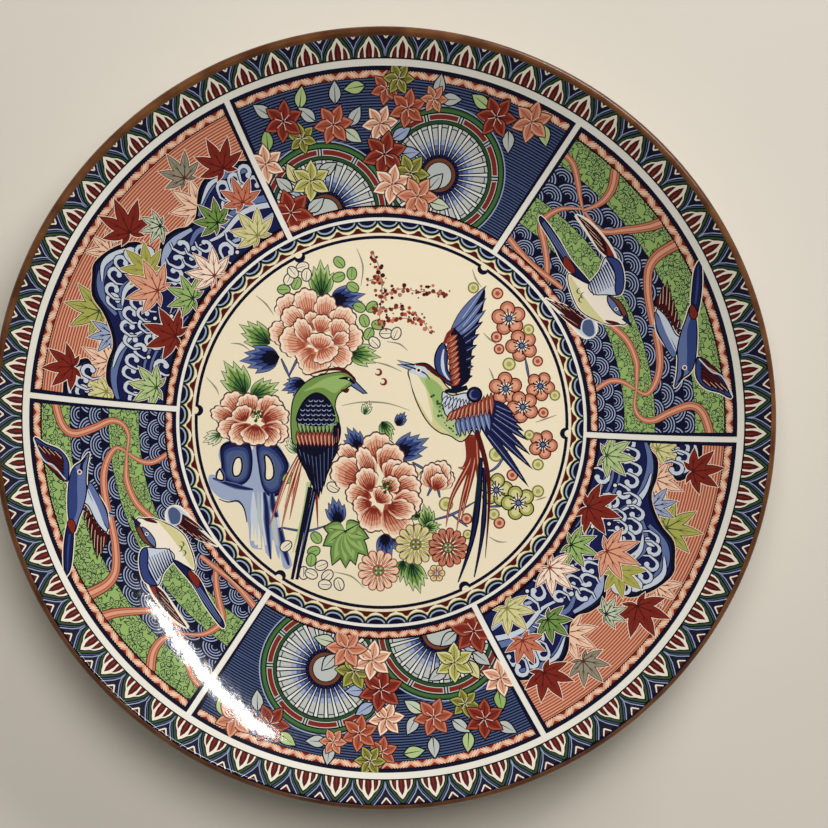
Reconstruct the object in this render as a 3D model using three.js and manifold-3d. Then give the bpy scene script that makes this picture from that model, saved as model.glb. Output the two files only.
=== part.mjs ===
// A porcelain display plate, 305 mm across: a coupe-shaped body with a flat well and a wall that
// steepens towards the edge, a turned foot ring, a brown glaze band over the lip, and the printed
// and enamelled decoration laid on the glaze: a round centre, a scalloped band round it, six
// panels on the wall and a border of lotus petals. Millimetres, +Z up, the foot stands on z = 0
// and the axis of the plate is the Z axis.
import * as THREE from 'three';
import { mergeVertices } from 'three/addons/utils/BufferGeometryUtils.js';
import Module from 'manifold-3d';

// Finished upper surface
const WELL_RADIUS = 70;        // the flat well ends here and the wall begins
const WELL_HEIGHT = 9.5;       // glazed surface of the well above the table
const WALL_END = 149.5;        // the wall meets the rounded lip here
const WALL_RISE = 33;          // height of the wall from the well to the lip
const WALL_POWER = 2.2;        // the wall rises as this power of the distance from the well
const LIP_RADIUS = 1.8;        // half the thickness of the lip, which is a half round

// Body
const WELL_THICKNESS = 4.2;
const DECAL_THICKNESS = 0.4;   // stands in for an enamel layer of a few hundredths
const GAP = 0.3;               // between solids that touch
const COVER = DECAL_THICKNESS + GAP;

// Foot ring
const FOOT_OUTER = 92;
const FOOT_INNER = 87;
const FOOT_TAPER = 1.2;        // the ring widens upwards by this much on each side

// Decoration, as radii measured from the axis
const MEDALLION_RADIUS = 74.1;
const BAND_INNER = 74.5;
const BAND_OUTER = 80.2;
const PANEL_INNER = 81.5;
const PANEL_OUTER = 138.4;
const BORDER_INNER = 140.9;
const BORDER_OUTER = WALL_END - 0.6;
const PANEL_COUNT = 6;
const PANEL_START = THREE.MathUtils.degToRad(-3.4);
const DIVIDER_WIDTH = 2.2;     // bare glaze between two panels
const PANEL_NAMES = ['birds', 'wheels', 'maples'];

const TURN_STEPS = 60;         // flats round the plate
const WALL_STEPS = 9;          // flats up the wall
const LIP_STEPS = 4;           // flats round the lip

const wasm = await Module();
wasm.setup();

const plate = new THREE.Group();
plate.name = 'china_plate';

const WHITE_GLAZE = { color: '#e9e8e0', roughness: 0.12, metalness: 0 };
const BARE_PORCELAIN = { color: '#d9d2c4', roughness: 0.75, metalness: 0 };
const BROWN_GLAZE = { color: '#6b3d1c', roughness: 0.25, metalness: 0.1 };
const CREAM_FIELD = { color: '#e6dcc0', roughness: 0.15, metalness: 0 };
const NAVY_FIELD = { color: '#14163f', roughness: 0.15, metalness: 0 };
const GREEN_FIELD = { color: '#7f9c72', roughness: 0.15, metalness: 0 };
const RED_FIELD = { color: '#b0604c', roughness: 0.15, metalness: 0 };

function addPart(name, geometry, finish) {
  const mesh = new THREE.Mesh(geometry, new THREE.MeshStandardMaterial(finish));
  mesh.name = name;
  plate.add(mesh);
}

// Height and slope of the finished upper surface at a radius.
function surfaceHeight(radius) {
  const along = Math.max(0, radius - WELL_RADIUS) / (WALL_END - WELL_RADIUS);
  return WELL_HEIGHT + WALL_RISE * along ** WALL_POWER;
}

function surfaceSlope(radius) {
  const along = Math.max(0, radius - WELL_RADIUS) / (WALL_END - WELL_RADIUS);
  const gradient = WALL_RISE * WALL_POWER * along ** (WALL_POWER - 1) / (WALL_END - WELL_RADIUS);
  return Math.atan(gradient);
}

// A point a given depth below the finished surface, measured square to it.
function below(radius, depth) {
  const slope = surfaceSlope(radius);
  return new THREE.Vector2(
    radius + depth * Math.sin(slope),
    surfaceHeight(radius) - depth * Math.cos(slope),
  );
}

// Points along the surface from one radius to another, at one depth below it.
function course(from, to, depth, steps) {
  const points = [];
  for (let i = 0; i <= steps; i++) points.push(below(from + (to - from) * i / steps, depth));
  return points;
}

// Points round the lip's half round, from its upper side over the edge to its underside.
function lipArc(radius) {
  const centre = below(WALL_END, LIP_RADIUS);
  const start = Math.PI / 2 + surfaceSlope(WALL_END);
  const points = [];
  for (let i = 0; i <= LIP_STEPS * 2; i++) {
    const angle = start - Math.PI * i / (LIP_STEPS * 2);
    points.push(new THREE.Vector2(
      centre.x + radius * Math.cos(angle),
      centre.y + radius * Math.sin(angle),
    ));
  }
  return points;
}

// A profile of radius and height, turned about the Z axis. Profiles are listed so that the
// outline runs anticlockwise with radius to the right and height up.
function turned(profile) {
  const geometry = new THREE.LatheGeometry(profile, TURN_STEPS);
  geometry.rotateX(Math.PI / 2);
  return geometry;
}

function closedRing(points) {
  return turned([...points, points[0].clone()]);
}

// A thin ring that lies on the glaze between two radii.
function decalRing(inner, outer, steps) {
  const top = course(outer, inner, 0, steps);
  const bottom = course(inner, outer, DECAL_THICKNESS, steps);
  return closedRing([...bottom, ...top]);
}

function toSolid(geometry) {
  const bare = geometry.clone();
  bare.deleteAttribute('normal');
  bare.deleteAttribute('uv');
  const merged = mergeVertices(bare, 1e-4);
  return new wasm.Manifold(new wasm.Mesh({
    numProp: 3,
    vertProperties: new Float32Array(merged.attributes.position.array),
    triVerts: new Uint32Array(merged.index.array),
  }));
}

function toGeometry(solid) {
  const mesh = solid.getMesh();
  const geometry = new THREE.BufferGeometry();
  geometry.setAttribute('position', new THREE.BufferAttribute(new Float32Array(mesh.vertProperties), 3));
  geometry.setIndex(new THREE.BufferAttribute(new Uint32Array(mesh.triVerts), 1));
  geometry.computeVertexNormals();
  return geometry;
}

// An upright wedge between two dividers. Its sides run half a divider's width clear of them.
function panelWedge(index) {
  const spread = 2 * Math.PI / PANEL_COUNT;
  const start = PANEL_START + index * spread;
  const middle = start + spread / 2;
  const apexDistance = DIVIDER_WIDTH / 2 / Math.sin(spread / 2);
  const apex = new THREE.Vector2(Math.cos(middle), Math.sin(middle)).multiplyScalar(apexDistance);
  const reach = 2 * WALL_END;
  const corner = (angle) => new THREE.Vector2(Math.cos(angle), Math.sin(angle))
    .multiplyScalar(reach).add(apex);
  const outline = new THREE.Shape([apex, corner(start), corner(middle), corner(start + spread)]);
  return new THREE.ExtrudeGeometry(outline, { depth: 2 * WALL_RISE, bevelEnabled: false });
}

// Body: from the axis out along the underside, round the lip, and back over the upper surface.
function porcelainBody() {
  const underside = WELL_HEIGHT - WELL_THICKNESS;
  const footSeat = FOOT_OUTER + FOOT_TAPER + 1;
  const wallBottom = course(footSeat + 3, WALL_END, 2 * LIP_RADIUS, WALL_STEPS).slice(0, -1);
  const upper = course(WALL_END, WELL_RADIUS, COVER, WALL_STEPS).slice(1);
  return turned([
    new THREE.Vector2(0, underside),
    new THREE.Vector2(FOOT_OUTER, underside),
    ...wallBottom,
    ...lipArc(LIP_RADIUS - COVER).reverse(),
    ...upper,
    new THREE.Vector2(0, WELL_HEIGHT - COVER),
  ]);
}

// The ring the plate stands on, tapered towards the table.
function footRing() {
  const top = WELL_HEIGHT - WELL_THICKNESS - GAP;
  return closedRing([
    new THREE.Vector2(FOOT_INNER, 0),
    new THREE.Vector2(FOOT_OUTER, 0),
    new THREE.Vector2(FOOT_OUTER + FOOT_TAPER, top),
    new THREE.Vector2(FOOT_INNER - FOOT_TAPER, top),
  ]);
}

// Brown glaze band: a thin hook over the lip.
function rimBand() {
  const outside = lipArc(LIP_RADIUS).reverse();
  const inside = lipArc(LIP_RADIUS - DECAL_THICKNESS);
  return closedRing([...outside, ...inside]);
}

// Centre: a thin disc that covers the well and the foot of the wall.
function medallion() {
  const rimSteps = 2;
  return turned([
    new THREE.Vector2(0, WELL_HEIGHT - DECAL_THICKNESS),
    ...course(WELL_RADIUS, MEDALLION_RADIUS, DECAL_THICKNESS, rimSteps),
    ...course(MEDALLION_RADIUS, WELL_RADIUS, 0, rimSteps),
    new THREE.Vector2(0, WELL_HEIGHT),
  ]);
}

addPart('porcelain_body', porcelainBody(), WHITE_GLAZE);
addPart('foot_ring', footRing(), BARE_PORCELAIN);
addPart('rim_band', rimBand(), BROWN_GLAZE);
addPart('centre_medallion', medallion(), CREAM_FIELD);
addPart('scallop_band', decalRing(BAND_INNER, BAND_OUTER, 1), NAVY_FIELD);
addPart('lotus_border', decalRing(BORDER_INNER, BORDER_OUTER, 2), NAVY_FIELD);

const panelRing = toSolid(decalRing(PANEL_INNER, PANEL_OUTER, WALL_STEPS - 2));
const panelFinishes = [GREEN_FIELD, NAVY_FIELD, RED_FIELD];
for (let i = 0; i < PANEL_COUNT; i++) {
  const design = i % PANEL_NAMES.length;
  const copy = Math.floor(i / PANEL_NAMES.length) + 1;
  const panel = panelRing.intersect(toSolid(panelWedge(i)));
  addPart(`${PANEL_NAMES[design]}_panel_${copy}`, toGeometry(panel), panelFinishes[design]);
}

export default plate;
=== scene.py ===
# A porcelain display plate, decorated all over its upper side, on a plain pale floor.
# Sizes are in millimetres up to the moment a mesh is made; meshes, lamps and camera are in metres.
# The decoration is drawn as flat shapes, the later ones on top of the earlier ones. Each drawing
# is cut into triangles that follow the shapes' outlines and is laid on the plate's surface.
import cmath
import math
import random

import bmesh
import bpy
from mathutils import Matrix, Vector
from mathutils.geometry import delaunay_2d_cdt


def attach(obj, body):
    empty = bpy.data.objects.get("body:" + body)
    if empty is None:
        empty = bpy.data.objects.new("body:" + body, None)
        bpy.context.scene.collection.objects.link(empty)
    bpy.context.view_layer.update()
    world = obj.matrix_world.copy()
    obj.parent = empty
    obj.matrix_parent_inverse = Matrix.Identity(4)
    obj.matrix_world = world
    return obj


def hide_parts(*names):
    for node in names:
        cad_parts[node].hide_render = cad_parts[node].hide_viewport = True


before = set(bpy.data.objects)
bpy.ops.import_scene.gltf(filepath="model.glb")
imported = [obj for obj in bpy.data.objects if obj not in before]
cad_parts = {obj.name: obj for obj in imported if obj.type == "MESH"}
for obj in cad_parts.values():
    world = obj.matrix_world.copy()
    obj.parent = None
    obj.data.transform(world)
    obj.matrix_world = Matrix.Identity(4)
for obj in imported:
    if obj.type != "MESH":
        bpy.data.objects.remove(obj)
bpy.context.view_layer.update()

MM = 0.001

# --- The plate's upper surface, as in the CAD model -------------------------------------------
WELL_RADIUS = 70.0
WELL_HEIGHT = 9.5
WALL_END = 149.5
WALL_RISE = 33.0
WALL_POWER = 2.2
LIP_RADIUS = 1.8
WELL_THICKNESS = 4.2
ENAMEL_LIFT = 0.08             # the decoration stands this far proud of the bare glaze
ENAMEL_DEPTH = 0.2             # and is this thick, so that its underside is in the body

# Where the decoration's zones begin and end, as radii
MEDALLION_EDGE = 74.3
MEDALLION_GAP = 0.05           # between the medallion and the band round it
BAND_EDGE = 80.25
PANEL_INNER = 81.5
PANEL_OUTER = 138.4
BORDER_INNER = 140.9
BORDER_OUTER = 150.9
PANEL_COUNT = 6
PANEL_SPREAD = 360 // PANEL_COUNT
PANEL_START = -3.4             # degrees, the first divider
DIVIDER_WIDTH = 2.2


def wall_part(radius):
    return max(0.0, radius - WELL_RADIUS) / (WALL_END - WELL_RADIUS)


def wall_slope(radius):
    gradient = WALL_RISE * WALL_POWER * wall_part(radius) ** (WALL_POWER - 1)
    return math.atan(gradient / (WALL_END - WELL_RADIUS))


LIP_X = WALL_END + LIP_RADIUS * math.sin(wall_slope(WALL_END))
LIP_Z = WELL_HEIGHT + WALL_RISE - LIP_RADIUS * math.cos(wall_slope(WALL_END))


def surface_slope(radius):
    if radius <= WALL_END:
        return wall_slope(radius)
    return -math.asin(min(1.0, (radius - LIP_X) / LIP_RADIUS))


def surface_height(radius):
    if radius <= WALL_END:
        return WELL_HEIGHT + WALL_RISE * wall_part(radius) ** WALL_POWER
    return LIP_Z + LIP_RADIUS * math.cos(surface_slope(radius))


def surface_normal(x, y):
    radius = math.hypot(x, y)
    slope = surface_slope(radius)
    if radius < 1e-9:
        return (0.0, 0.0, 1.0)
    outward = -math.sin(slope) / radius
    return (x * outward, y * outward, math.cos(slope))


# --- Colours ----------------------------------------------------------------------------------
PALETTE = {
    "cream": "eee3c6", "ivory": "ede3c6", "white": "dcddd9", "paper": "efe6d6", "fog": "b9bfbc",
    "ink": "040416", "navy": "080926", "indigo": "131a4c", "blue": "2f3f78",
    "steel": "5f70a0", "denim": "48597f", "mist": "9ba9c8", "pale_blue": "c6cfdd",
    "black": "020206", "bark": "502a1b", "umber": "6d3d2b",
    "maroon": "4c0f0e", "brick": "7b261b", "rust": "a04e38", "coral": "c2775c",
    "peach": "da9f82", "blush": "ebc7ab", "shell": "f3dfca",
    "pine": "11271a", "forest": "294b29", "fern": "3f6a37", "leaf": "6f9149", "grass": "93b268",
    "sage": "afc388", "celadon": "bfcab0", "olive": "7c7a36", "moss": "a9a855", "straw": "d3cd96",
    "smoke": "8f8b78",
}


def linear(hexcode):
    channels = [int(hexcode[i:i + 2], 16) / 255 for i in (0, 2, 4)]
    return [c / 12.92 if c <= 0.04045 else ((c + 0.055) / 1.055) ** 2.4 for c in channels] + [1.0]


def new_material(name):
    material = bpy.data.materials.new(name)
    material.use_nodes = True
    nodes = material.node_tree.nodes
    nodes.clear()
    shader = nodes.new("ShaderNodeBsdfPrincipled")
    output = nodes.new("ShaderNodeOutputMaterial")
    material.node_tree.links.new(shader.outputs["BSDF"], output.inputs["Surface"])
    return material, shader


def add_noise(material, scale, detail):
    nodes, links = material.node_tree.nodes, material.node_tree.links
    place = nodes.new("ShaderNodeTexCoord")
    noise = nodes.new("ShaderNodeTexNoise")
    noise.inputs["Scale"].default_value = scale
    noise.inputs["Detail"].default_value = detail
    links.new(place.outputs["Object"], noise.inputs["Vector"])
    return noise


def add_bump(material, shader, height, strength, distance):
    nodes, links = material.node_tree.nodes, material.node_tree.links
    bump = nodes.new("ShaderNodeBump")
    bump.inputs["Strength"].default_value = strength
    bump.inputs["Distance"].default_value = distance
    links.new(height.outputs["Fac"], bump.inputs["Height"])
    links.new(bump.outputs["Normal"], shader.inputs["Normal"])


GLAZE_ROUGHNESS = 0.09
GLAZE_IOR = 1.5
RIPPLE_DETAIL = 3.0
ENAMEL_RIPPLE = 260.0          # noise scale of the glaze's ripple
ENAMEL_BUMP = (0.12, 0.0004)   # its strength and its height in metres


def enamel(name):
    """A glossy enamel colour with the faint ripple of a fired glaze."""
    material, shader = new_material("enamel_" + name)
    shader.inputs["Base Color"].default_value = linear(PALETTE[name])
    shader.inputs["Roughness"].default_value = GLAZE_ROUGHNESS
    shader.inputs["IOR"].default_value = GLAZE_IOR
    add_bump(material, shader, add_noise(material, ENAMEL_RIPPLE, RIPPLE_DETAIL), *ENAMEL_BUMP)
    return material


ENAMELS = {}


def enamel_of(name):
    if name not in ENAMELS:
        ENAMELS[name] = enamel(name)
    return ENAMELS[name]


# --- Drawing ----------------------------------------------------------------------------------
# A point on a drawing is a complex number: its real part is across, its imaginary part is up.
def turn(degrees):
    return cmath.rect(1.0, math.radians(degrees))


def smooth(points, closed=False, steps=6):
    """A soft curve through given points."""
    count = len(points)
    spans = count if closed else count - 1
    curve = []
    for i in range(spans):
        if closed:
            p0, p1, p2, p3 = (points[(i + k) % count] for k in (-1, 0, 1, 2))
        else:
            p0, p1 = points[max(i - 1, 0)], points[i]
            p2, p3 = points[i + 1], points[min(i + 2, count - 1)]
        for k in range(steps):
            t = k / steps
            curve.append(0.5 * (2 * p1 + (p2 - p0) * t + (2 * p0 - 5 * p1 + 4 * p2 - p3) * t * t
                                + (3 * p1 - p0 - 3 * p2 + p3) * t ** 3))
    if not closed:
        curve.append(points[-1])
    return curve


def arc(centre, radius, start, end, steps=12, squash=1.0):
    """Points round part of a circle or, with squash, of an ellipse. Angles in degrees."""
    points = []
    for i in range(steps + 1):
        angle = math.radians(start + (end - start) * i / steps)
        points.append(centre + complex(radius * math.cos(angle), radius * squash * math.sin(angle)))
    return points


def ring_points(centre, radius, steps=16, squash=1.0):
    return arc(centre, radius, 0, 360, steps, squash)[:-1]


def signed_area(points):
    total = 0.0
    for a, b in zip(points, points[1:] + points[:1]):
        total += a.real * b.imag - b.real * a.imag
    return total / 2


def trimmed(points, level, side):
    """The part of a convex outline above a level, for side 1, or below it, for side -1."""
    kept = []
    for a, b in zip(points, points[1:] + points[:1]):
        rise_a, rise_b = side * (a.imag - level), side * (b.imag - level)
        if rise_a >= 0:
            kept.append(a)
        if min(rise_a, rise_b) < 0 < max(rise_a, rise_b):
            kept.append(a + (b - a) * rise_a / (rise_a - rise_b))
    return kept


LEAST_AREA = 1e-4              # smaller shapes, in square millimetres, are left out
LEAST_TRIMMED = 0.01           # and so are smaller scraps of a trimmed shape
SAME_PLACE = 1e-3              # points of a line nearer than this are one point
NO_LENGTH = 1e-6


class Drawing:
    """Coloured shapes in painting order, and the map from the drawing to the plate."""

    def __init__(self, place=lambda z: z, longest=4.0):
        self.place = place
        self.longest = longest
        self.limits = None
        self.shapes = []

    def refined(self, points):
        fine = []
        for a, b in zip(points, points[1:] + points[:1]):
            pieces = max(1, math.ceil(abs(b - a) / self.longest))
            fine.extend(a + (b - a) * k / pieces for k in range(pieces))
        return [self.place(z) for z in fine]

    def add(self, colour, points):
        if self.limits:
            points = trimmed(trimmed(points, self.limits[0], 1), self.limits[1], -1)
            if len(points) < 3 or abs(signed_area(points)) < LEAST_TRIMMED:
                return
        placed = self.refined(points)
        area = signed_area(placed)
        if abs(area) < LEAST_AREA:
            return
        if area < 0:
            placed.reverse()
        self.shapes.append((colour, placed))


class Pen:
    """Draws on a drawing from its own place, turned, scaled and perhaps mirrored.

    Outlines are listed as pairs of numbers, and mark makes a pair into a point.
    """

    def __init__(self, drawing, at=0j, angle=0.0, size=1.0, mirror=False, mark=complex):
        self.drawing, self.at, self.mirror, self.mark = drawing, at, mirror, mark
        self.factor = size * turn(angle)
        self.size = size

    def out(self, z):
        z = complex(z)
        return self.at + self.factor * (z.conjugate() if self.mirror else z)

    def moved(self, at=0j, angle=0.0, size=1.0, mirror=False):
        pen = Pen(self.drawing)
        pen.at = self.out(at)
        pen.mirror = self.mirror != mirror
        pen.factor = self.factor * size * turn(-angle if self.mirror else angle)
        pen.size = self.size * size
        return pen

    def points(self, pairs):
        return [self.mark(*pair) for pair in pairs]

    def row(self, pairs, count):
        """A number of points, each one listed or all spread evenly between the only two."""
        points = self.points(pairs)
        if len(points) == count:
            return points
        start, end = points
        return [start + (end - start) * i / (count - 1) for i in range(count)]

    def fill(self, colour, points):
        self.drawing.add(colour, [self.out(z) for z in points])

    def line(self, colour, points, width, closed=False):
        """A stroke. Its width is one number, or a start, middle and end width."""
        spine = [self.out(z) for z in points]
        spine = [z for i, z in enumerate(spine) if i == 0 or abs(z - spine[i - 1]) > SAME_PLACE]
        if closed and abs(spine[0] - spine[-1]) > SAME_PLACE:
            spine.append(spine[0])
        last = len(spine) - 1
        if last < 1:
            return
        left, right = [], []
        for i, z in enumerate(spine):
            if closed and i in (0, last):
                ahead = spine[1] - spine[last - 1]
            else:
                ahead = spine[min(i + 1, last)] - spine[max(i - 1, 0)]
            if abs(ahead) < NO_LENGTH:
                ahead = spine[min(i + 1, last)] - z or 1
            side = 1j * ahead / abs(ahead) * stroke_width(width, i / last) / 2
            left.append(z + side)
            right.append(z - side)
        for i in range(last):
            self.quad(colour, left[i], left[i + 1], right[i + 1], right[i])

    def quad(self, colour, a, b, c, d):
        first, second = signed_area([a, b, c]), signed_area([a, c, d])
        if first * second >= 0:
            self.drawing.add(colour, [a, b, c, d])
        else:
            self.drawing.add(colour, [a, b, c])
            self.drawing.add(colour, [a, c, d])

    def shape(self, colour, points, edge=None, width=0.35):
        """A filled outline with an inked edge."""
        self.fill(colour, points)
        if edge:
            self.line(edge, points, width, closed=True)

    def blob(self, colour, pairs, edge=None, width=0.35, steps=6):
        """A shape with a soft outline."""
        self.shape(colour, smooth(self.points(pairs), True, steps), edge, width)

    def stroke(self, colour, pairs, width):
        """A line along a soft curve."""
        self.line(colour, smooth(self.points(pairs)), width)

    def dot(self, colour, centre, radius, edge=None, width=0.3, steps=14):
        self.shape(colour, ring_points(centre, radius, steps), edge, width)


def stroke_width(width, t):
    if not isinstance(width, tuple):
        return width
    start, middle, end = width
    if t < 0.5:
        return start + (middle - start) * 2 * t
    return middle + (end - middle) * (2 * t - 1)


# --- From a drawing to a thin solid on the plate ----------------------------------------------
RIM_SPACING = 1.2              # between the points of a solid's outline
MERGE_DISTANCE = 1e-5


def circle_loop(radius):
    return ring_points(0j, radius, 4 * round(math.pi * radius / 2 / RIM_SPACING))


def between(first, last):
    steps = math.ceil(abs(last - first) / RIM_SPACING)
    return [first + (last - first) * k / steps for k in range(steps)]


def bend(first, last):
    """Points round the axis from one point to another at the same radius."""
    swing = math.degrees(cmath.phase(last / first))
    steps = math.ceil(abs(last - first) / RIM_SPACING)
    return [first * turn(swing * k / steps) for k in range(steps)]


def sector_loop(inner, outer, start, end, clearance):
    """Outline between two dividers, whose straight sides run parallel to them."""
    def corner(radius, angle, side):
        return radius * turn(angle + side * math.degrees(math.asin(clearance / radius)))

    a, b = corner(outer, start, 1), corner(outer, end, -1)
    c, d = corner(inner, end, -1), corner(inner, start, 1)
    return bend(a, b) + between(b, c) + bend(c, d) + between(d, a)


def polar_grid(inner, outer, spacing, start=0.0, end=360.0):
    points = []
    rings = max(1, round((outer - inner) / spacing))
    for i in range(rings + 1):
        radius = inner + (outer - inner) * i / rings
        count = max(1, round(math.radians(end - start) * radius / spacing))
        for k in range(count):
            points.append(radius * turn(start + (end - start) * (k + 0.25 + 0.5 * (i % 2)) / count))
    return points


def triangulate(loops, shapes, loose):
    """Triangles inside the first loop and outside the others, each with its topmost shape."""
    points, faces = [], []
    for loop in loops + [outline for colour, outline in shapes]:
        faces.append(list(range(len(points), len(points) + len(loop))))
        points.extend(loop)
    points.extend(loose)
    vectors = [Vector((z.real, z.imag)) for z in points]
    verts, _, tris, sources, _, owners = delaunay_2d_cdt(
        vectors, [], faces, 1, MERGE_DISTANCE, True)
    kept = []
    for tri, ids in zip(tris, owners):
        if 0 in ids and not any(1 <= i < len(loops) for i in ids):
            kept.append((tri, max(ids) - len(loops)))
    return verts, kept, sources


class Solid:
    """Vertices, faces, colours and corner normals of one thin solid, in millimetres."""

    def __init__(self, ground):
        self.colours = [ground]
        self.verts, self.faces, self.slots, self.normals = [], [], [], []

    def slot(self, colour):
        if colour not in self.colours:
            self.colours.append(colour)
        return self.colours.index(colour)

    def vertex(self, point, depth):
        """A vertex this far under the plate's surface."""
        place = (point.x, point.y, surface_height(point.length))
        normal = surface_normal(point.x, point.y)
        self.verts.append([c - depth * n for c, n in zip(place, normal)])
        return len(self.verts) - 1

    def face(self, corners, slot, normals):
        self.faces.append(corners)
        self.slots.append(slot)
        self.normals.extend(normals)


def lay(drawing, ground, loops, grid, coarse_grid):
    """Cut a drawing into triangles and lay it on the plate as a closed thin solid."""
    flat, kept, _ = triangulate(loops, drawing.shapes, grid)
    solid = Solid(ground)
    upper, rim = {}, {}
    for tri, top in kept:
        for v in tri:
            if v not in upper:
                upper[v] = solid.vertex(flat[v], 0.0)
        slot = solid.slot(ground if top < 0 else drawing.shapes[top][0])
        solid.face([upper[v] for v in tri], slot, [surface_normal(*flat[v]) for v in tri])
        for a, b in zip(tri, tri[1:] + tri[:1]):
            if (b, a) in rim:
                del rim[b, a]
            else:
                rim[a, b] = slot
    close(solid, flat, upper, rim, coarse_grid)
    return solid


def rim_loops(rim, flat):
    """The boundary's edges chained into loops, the outermost first, all anticlockwise."""
    following = dict(rim.keys())
    loops = []
    while following:
        start, b = following.popitem()
        loop = [start]
        while b != start:
            loop.append(b)
            b = following.pop(b)
        area = signed_area([complex(*flat[v]) for v in loop])
        loops.append((-abs(area), loop if area > 0 else loop[::-1]))
    return [loop for area, loop in sorted(loops)]


def close(solid, flat, upper, rim, loose):
    """Add the underside and the sides."""
    loops = rim_loops(rim, flat)
    edge = [v for loop in loops for v in loop]
    outlines = [[complex(*flat[v]) for v in loop] for loop in loops]
    under, tris, sources = triangulate(outlines, [], loose)
    twin = {edge[s]: i for i, ids in enumerate(sources) for s in ids if s < len(edge)}
    lower = {}
    for tri, _ in tris:
        corners = tri[::-1]
        for v in corners:
            if v not in lower:
                lower[v] = solid.vertex(under[v], ENAMEL_DEPTH)
        down = [[-c for c in surface_normal(*under[v])] for v in corners]
        solid.face([lower[v] for v in corners], 0, down)
    for (a, b), slot in rim.items():
        along = (flat[b] - flat[a]).normalized()
        outward = (along.y, -along.x, 0.0)
        corners = [lower[twin[a]], lower[twin[b]], upper[b], upper[a]]
        solid.face(corners, slot, [outward] * 4)


def link(name, mesh, node):
    piece = bpy.data.objects.new(name, mesh)
    bpy.context.scene.collection.objects.link(piece)
    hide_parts(node)
    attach(piece, "root")


def enamel_piece(solid, name, half_turn=False):
    """Makes a solid the piece that stands for the CAD node of the same name."""
    sign = -1 if half_turn else 1
    mesh = bpy.data.meshes.new(name)
    mesh.from_pydata([(sign * x * MM, sign * y * MM, z * MM) for x, y, z in solid.verts],
                     [], solid.faces)
    for colour in solid.colours:
        mesh.materials.append(enamel_of(colour))
    mesh.polygons.foreach_set("material_index", solid.slots)
    mesh.polygons.foreach_set("use_smooth", [True] * len(solid.faces))
    mesh.normals_split_custom_set([(sign * x, sign * y, z) for x, y, z in solid.normals])
    link(name, mesh, name)


# --- The lotus border -------------------------------------------------------------------------
PETAL_COUNT = 72
BORDER_MIDDLE = 145            # radius half way up the border
BORDER_SCALE = math.radians(1) * BORDER_MIDDLE       # millimetres of a degree there


def polar_place(mm_per_degree, left_angle):
    """Across runs clockwise round the plate from an angle, up is the radius."""
    def place(z):
        return z.imag * turn(left_angle - z.real / mm_per_degree)
    return place


def both_sides(points):
    """A right-hand outline followed by its mirror image."""
    return points + [complex(-z.real, z.imag) for z in reversed(points)]


def block(x0, x1, y0, y1):
    return [complex(x0, y0), complex(x1, y0), complex(x1, y1), complex(x0, y1)]


def petal(pen):
    """One lotus petal, its foot at the origin and its neighbours half a pitch away."""
    half = math.pi * BORDER_MIDDLE / PETAL_COUNT
    pen.fill("black", both_sides([complex(half, -0.2), complex(half, 2.6), 1.9 + 9.4j]))
    outline = [5.5 + 0j, 4.8 + 2.4j, 3.1 + 4.9j, 1.4 + 7.1j, 0.1 + 8.7j]
    for shift, colour, width in ((1.9, "mist", 0.34), (1.1, "denim", 0.28), (0, "forest", 0.7)):
        for side in (-1, 1):
            pen.line(colour, [complex(side * min(z.real + shift, half), z.imag + 0.3 * shift)
                              for z in outline], width)
    for colour, grow in (("black", 0.45), ("paper", 0.0)):
        pen.fill(colour, both_sides([4.75 + grow, 4.5 + grow + 1.6j, 3.6 + grow + 3.4j,
                                     2.1 + grow + 4.8j, 1.2 + grow + 6.2j, 7.5j + 1.3j * grow]))
    for side in (-1, 1):
        lobe = [3.95 + 0j, 3.8 + 1.6j, 3.1 + 3.2j, 2.2 + 4.1j, 2.0 + 0j]
        pen.fill("maroon", [complex(side * z.real, z.imag) for z in lobe])
        pen.line("brick", [complex(side * 2.9, 0.2), complex(side * 2.7, 2.6)], (0.5, 0.4, 0.1))
    pen.fill("maroon", both_sides([1.25 + 0j, 1.35 + 2.4j, 0.9 + 4.4j, 6.1j]))
    pen.line("brick", [0.1 + 0.2j, 4.4j], (0.8, 0.7, 0.1))


def draw_border():
    drawing = Drawing(polar_place(BORDER_SCALE, 0.0))
    whole = 360 * BORDER_SCALE
    shake = random.Random(11)
    pen = Pen(drawing)
    pitch = whole / PETAL_COUNT
    for k in range(PETAL_COUNT):
        for low, high in ((149.4, 149.8), (150.2, 150.6)):        # so that the mesh bends over the lip
            pen.fill("navy", block(k * pitch, (k + 1) * pitch, low, high))
    for k in range(PETAL_COUNT):
        middle = (k + 0.5) * pitch + shake.uniform(-0.35, 0.35)
        petal(Pen(drawing, complex(middle, 141.35), size=shake.uniform(0.96, 1.02)))
    for k in range(PETAL_COUNT):
        at = Pen(drawing, complex(k * pitch + shake.uniform(-0.3, 0.3), 148.0))
        at.fill("maroon", [0.3j, 1.4 + 2.1j, -1.4 + 2.1j])
        for side in (-1, 1):
            at.line("paper", [side * 1.8 + 2.2j, 0j], (0.4, 0.7, 0.6))
    for k in range(PETAL_COUNT):
        pen.fill("black", block(k * pitch, (k + 1) * pitch, 140.8, 141.4))
    return drawing


# --- The scalloped band -----------------------------------------------------------------------
SCALLOP_COUNT = 60
BAND_SCALE = math.radians(1) * 78


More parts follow.
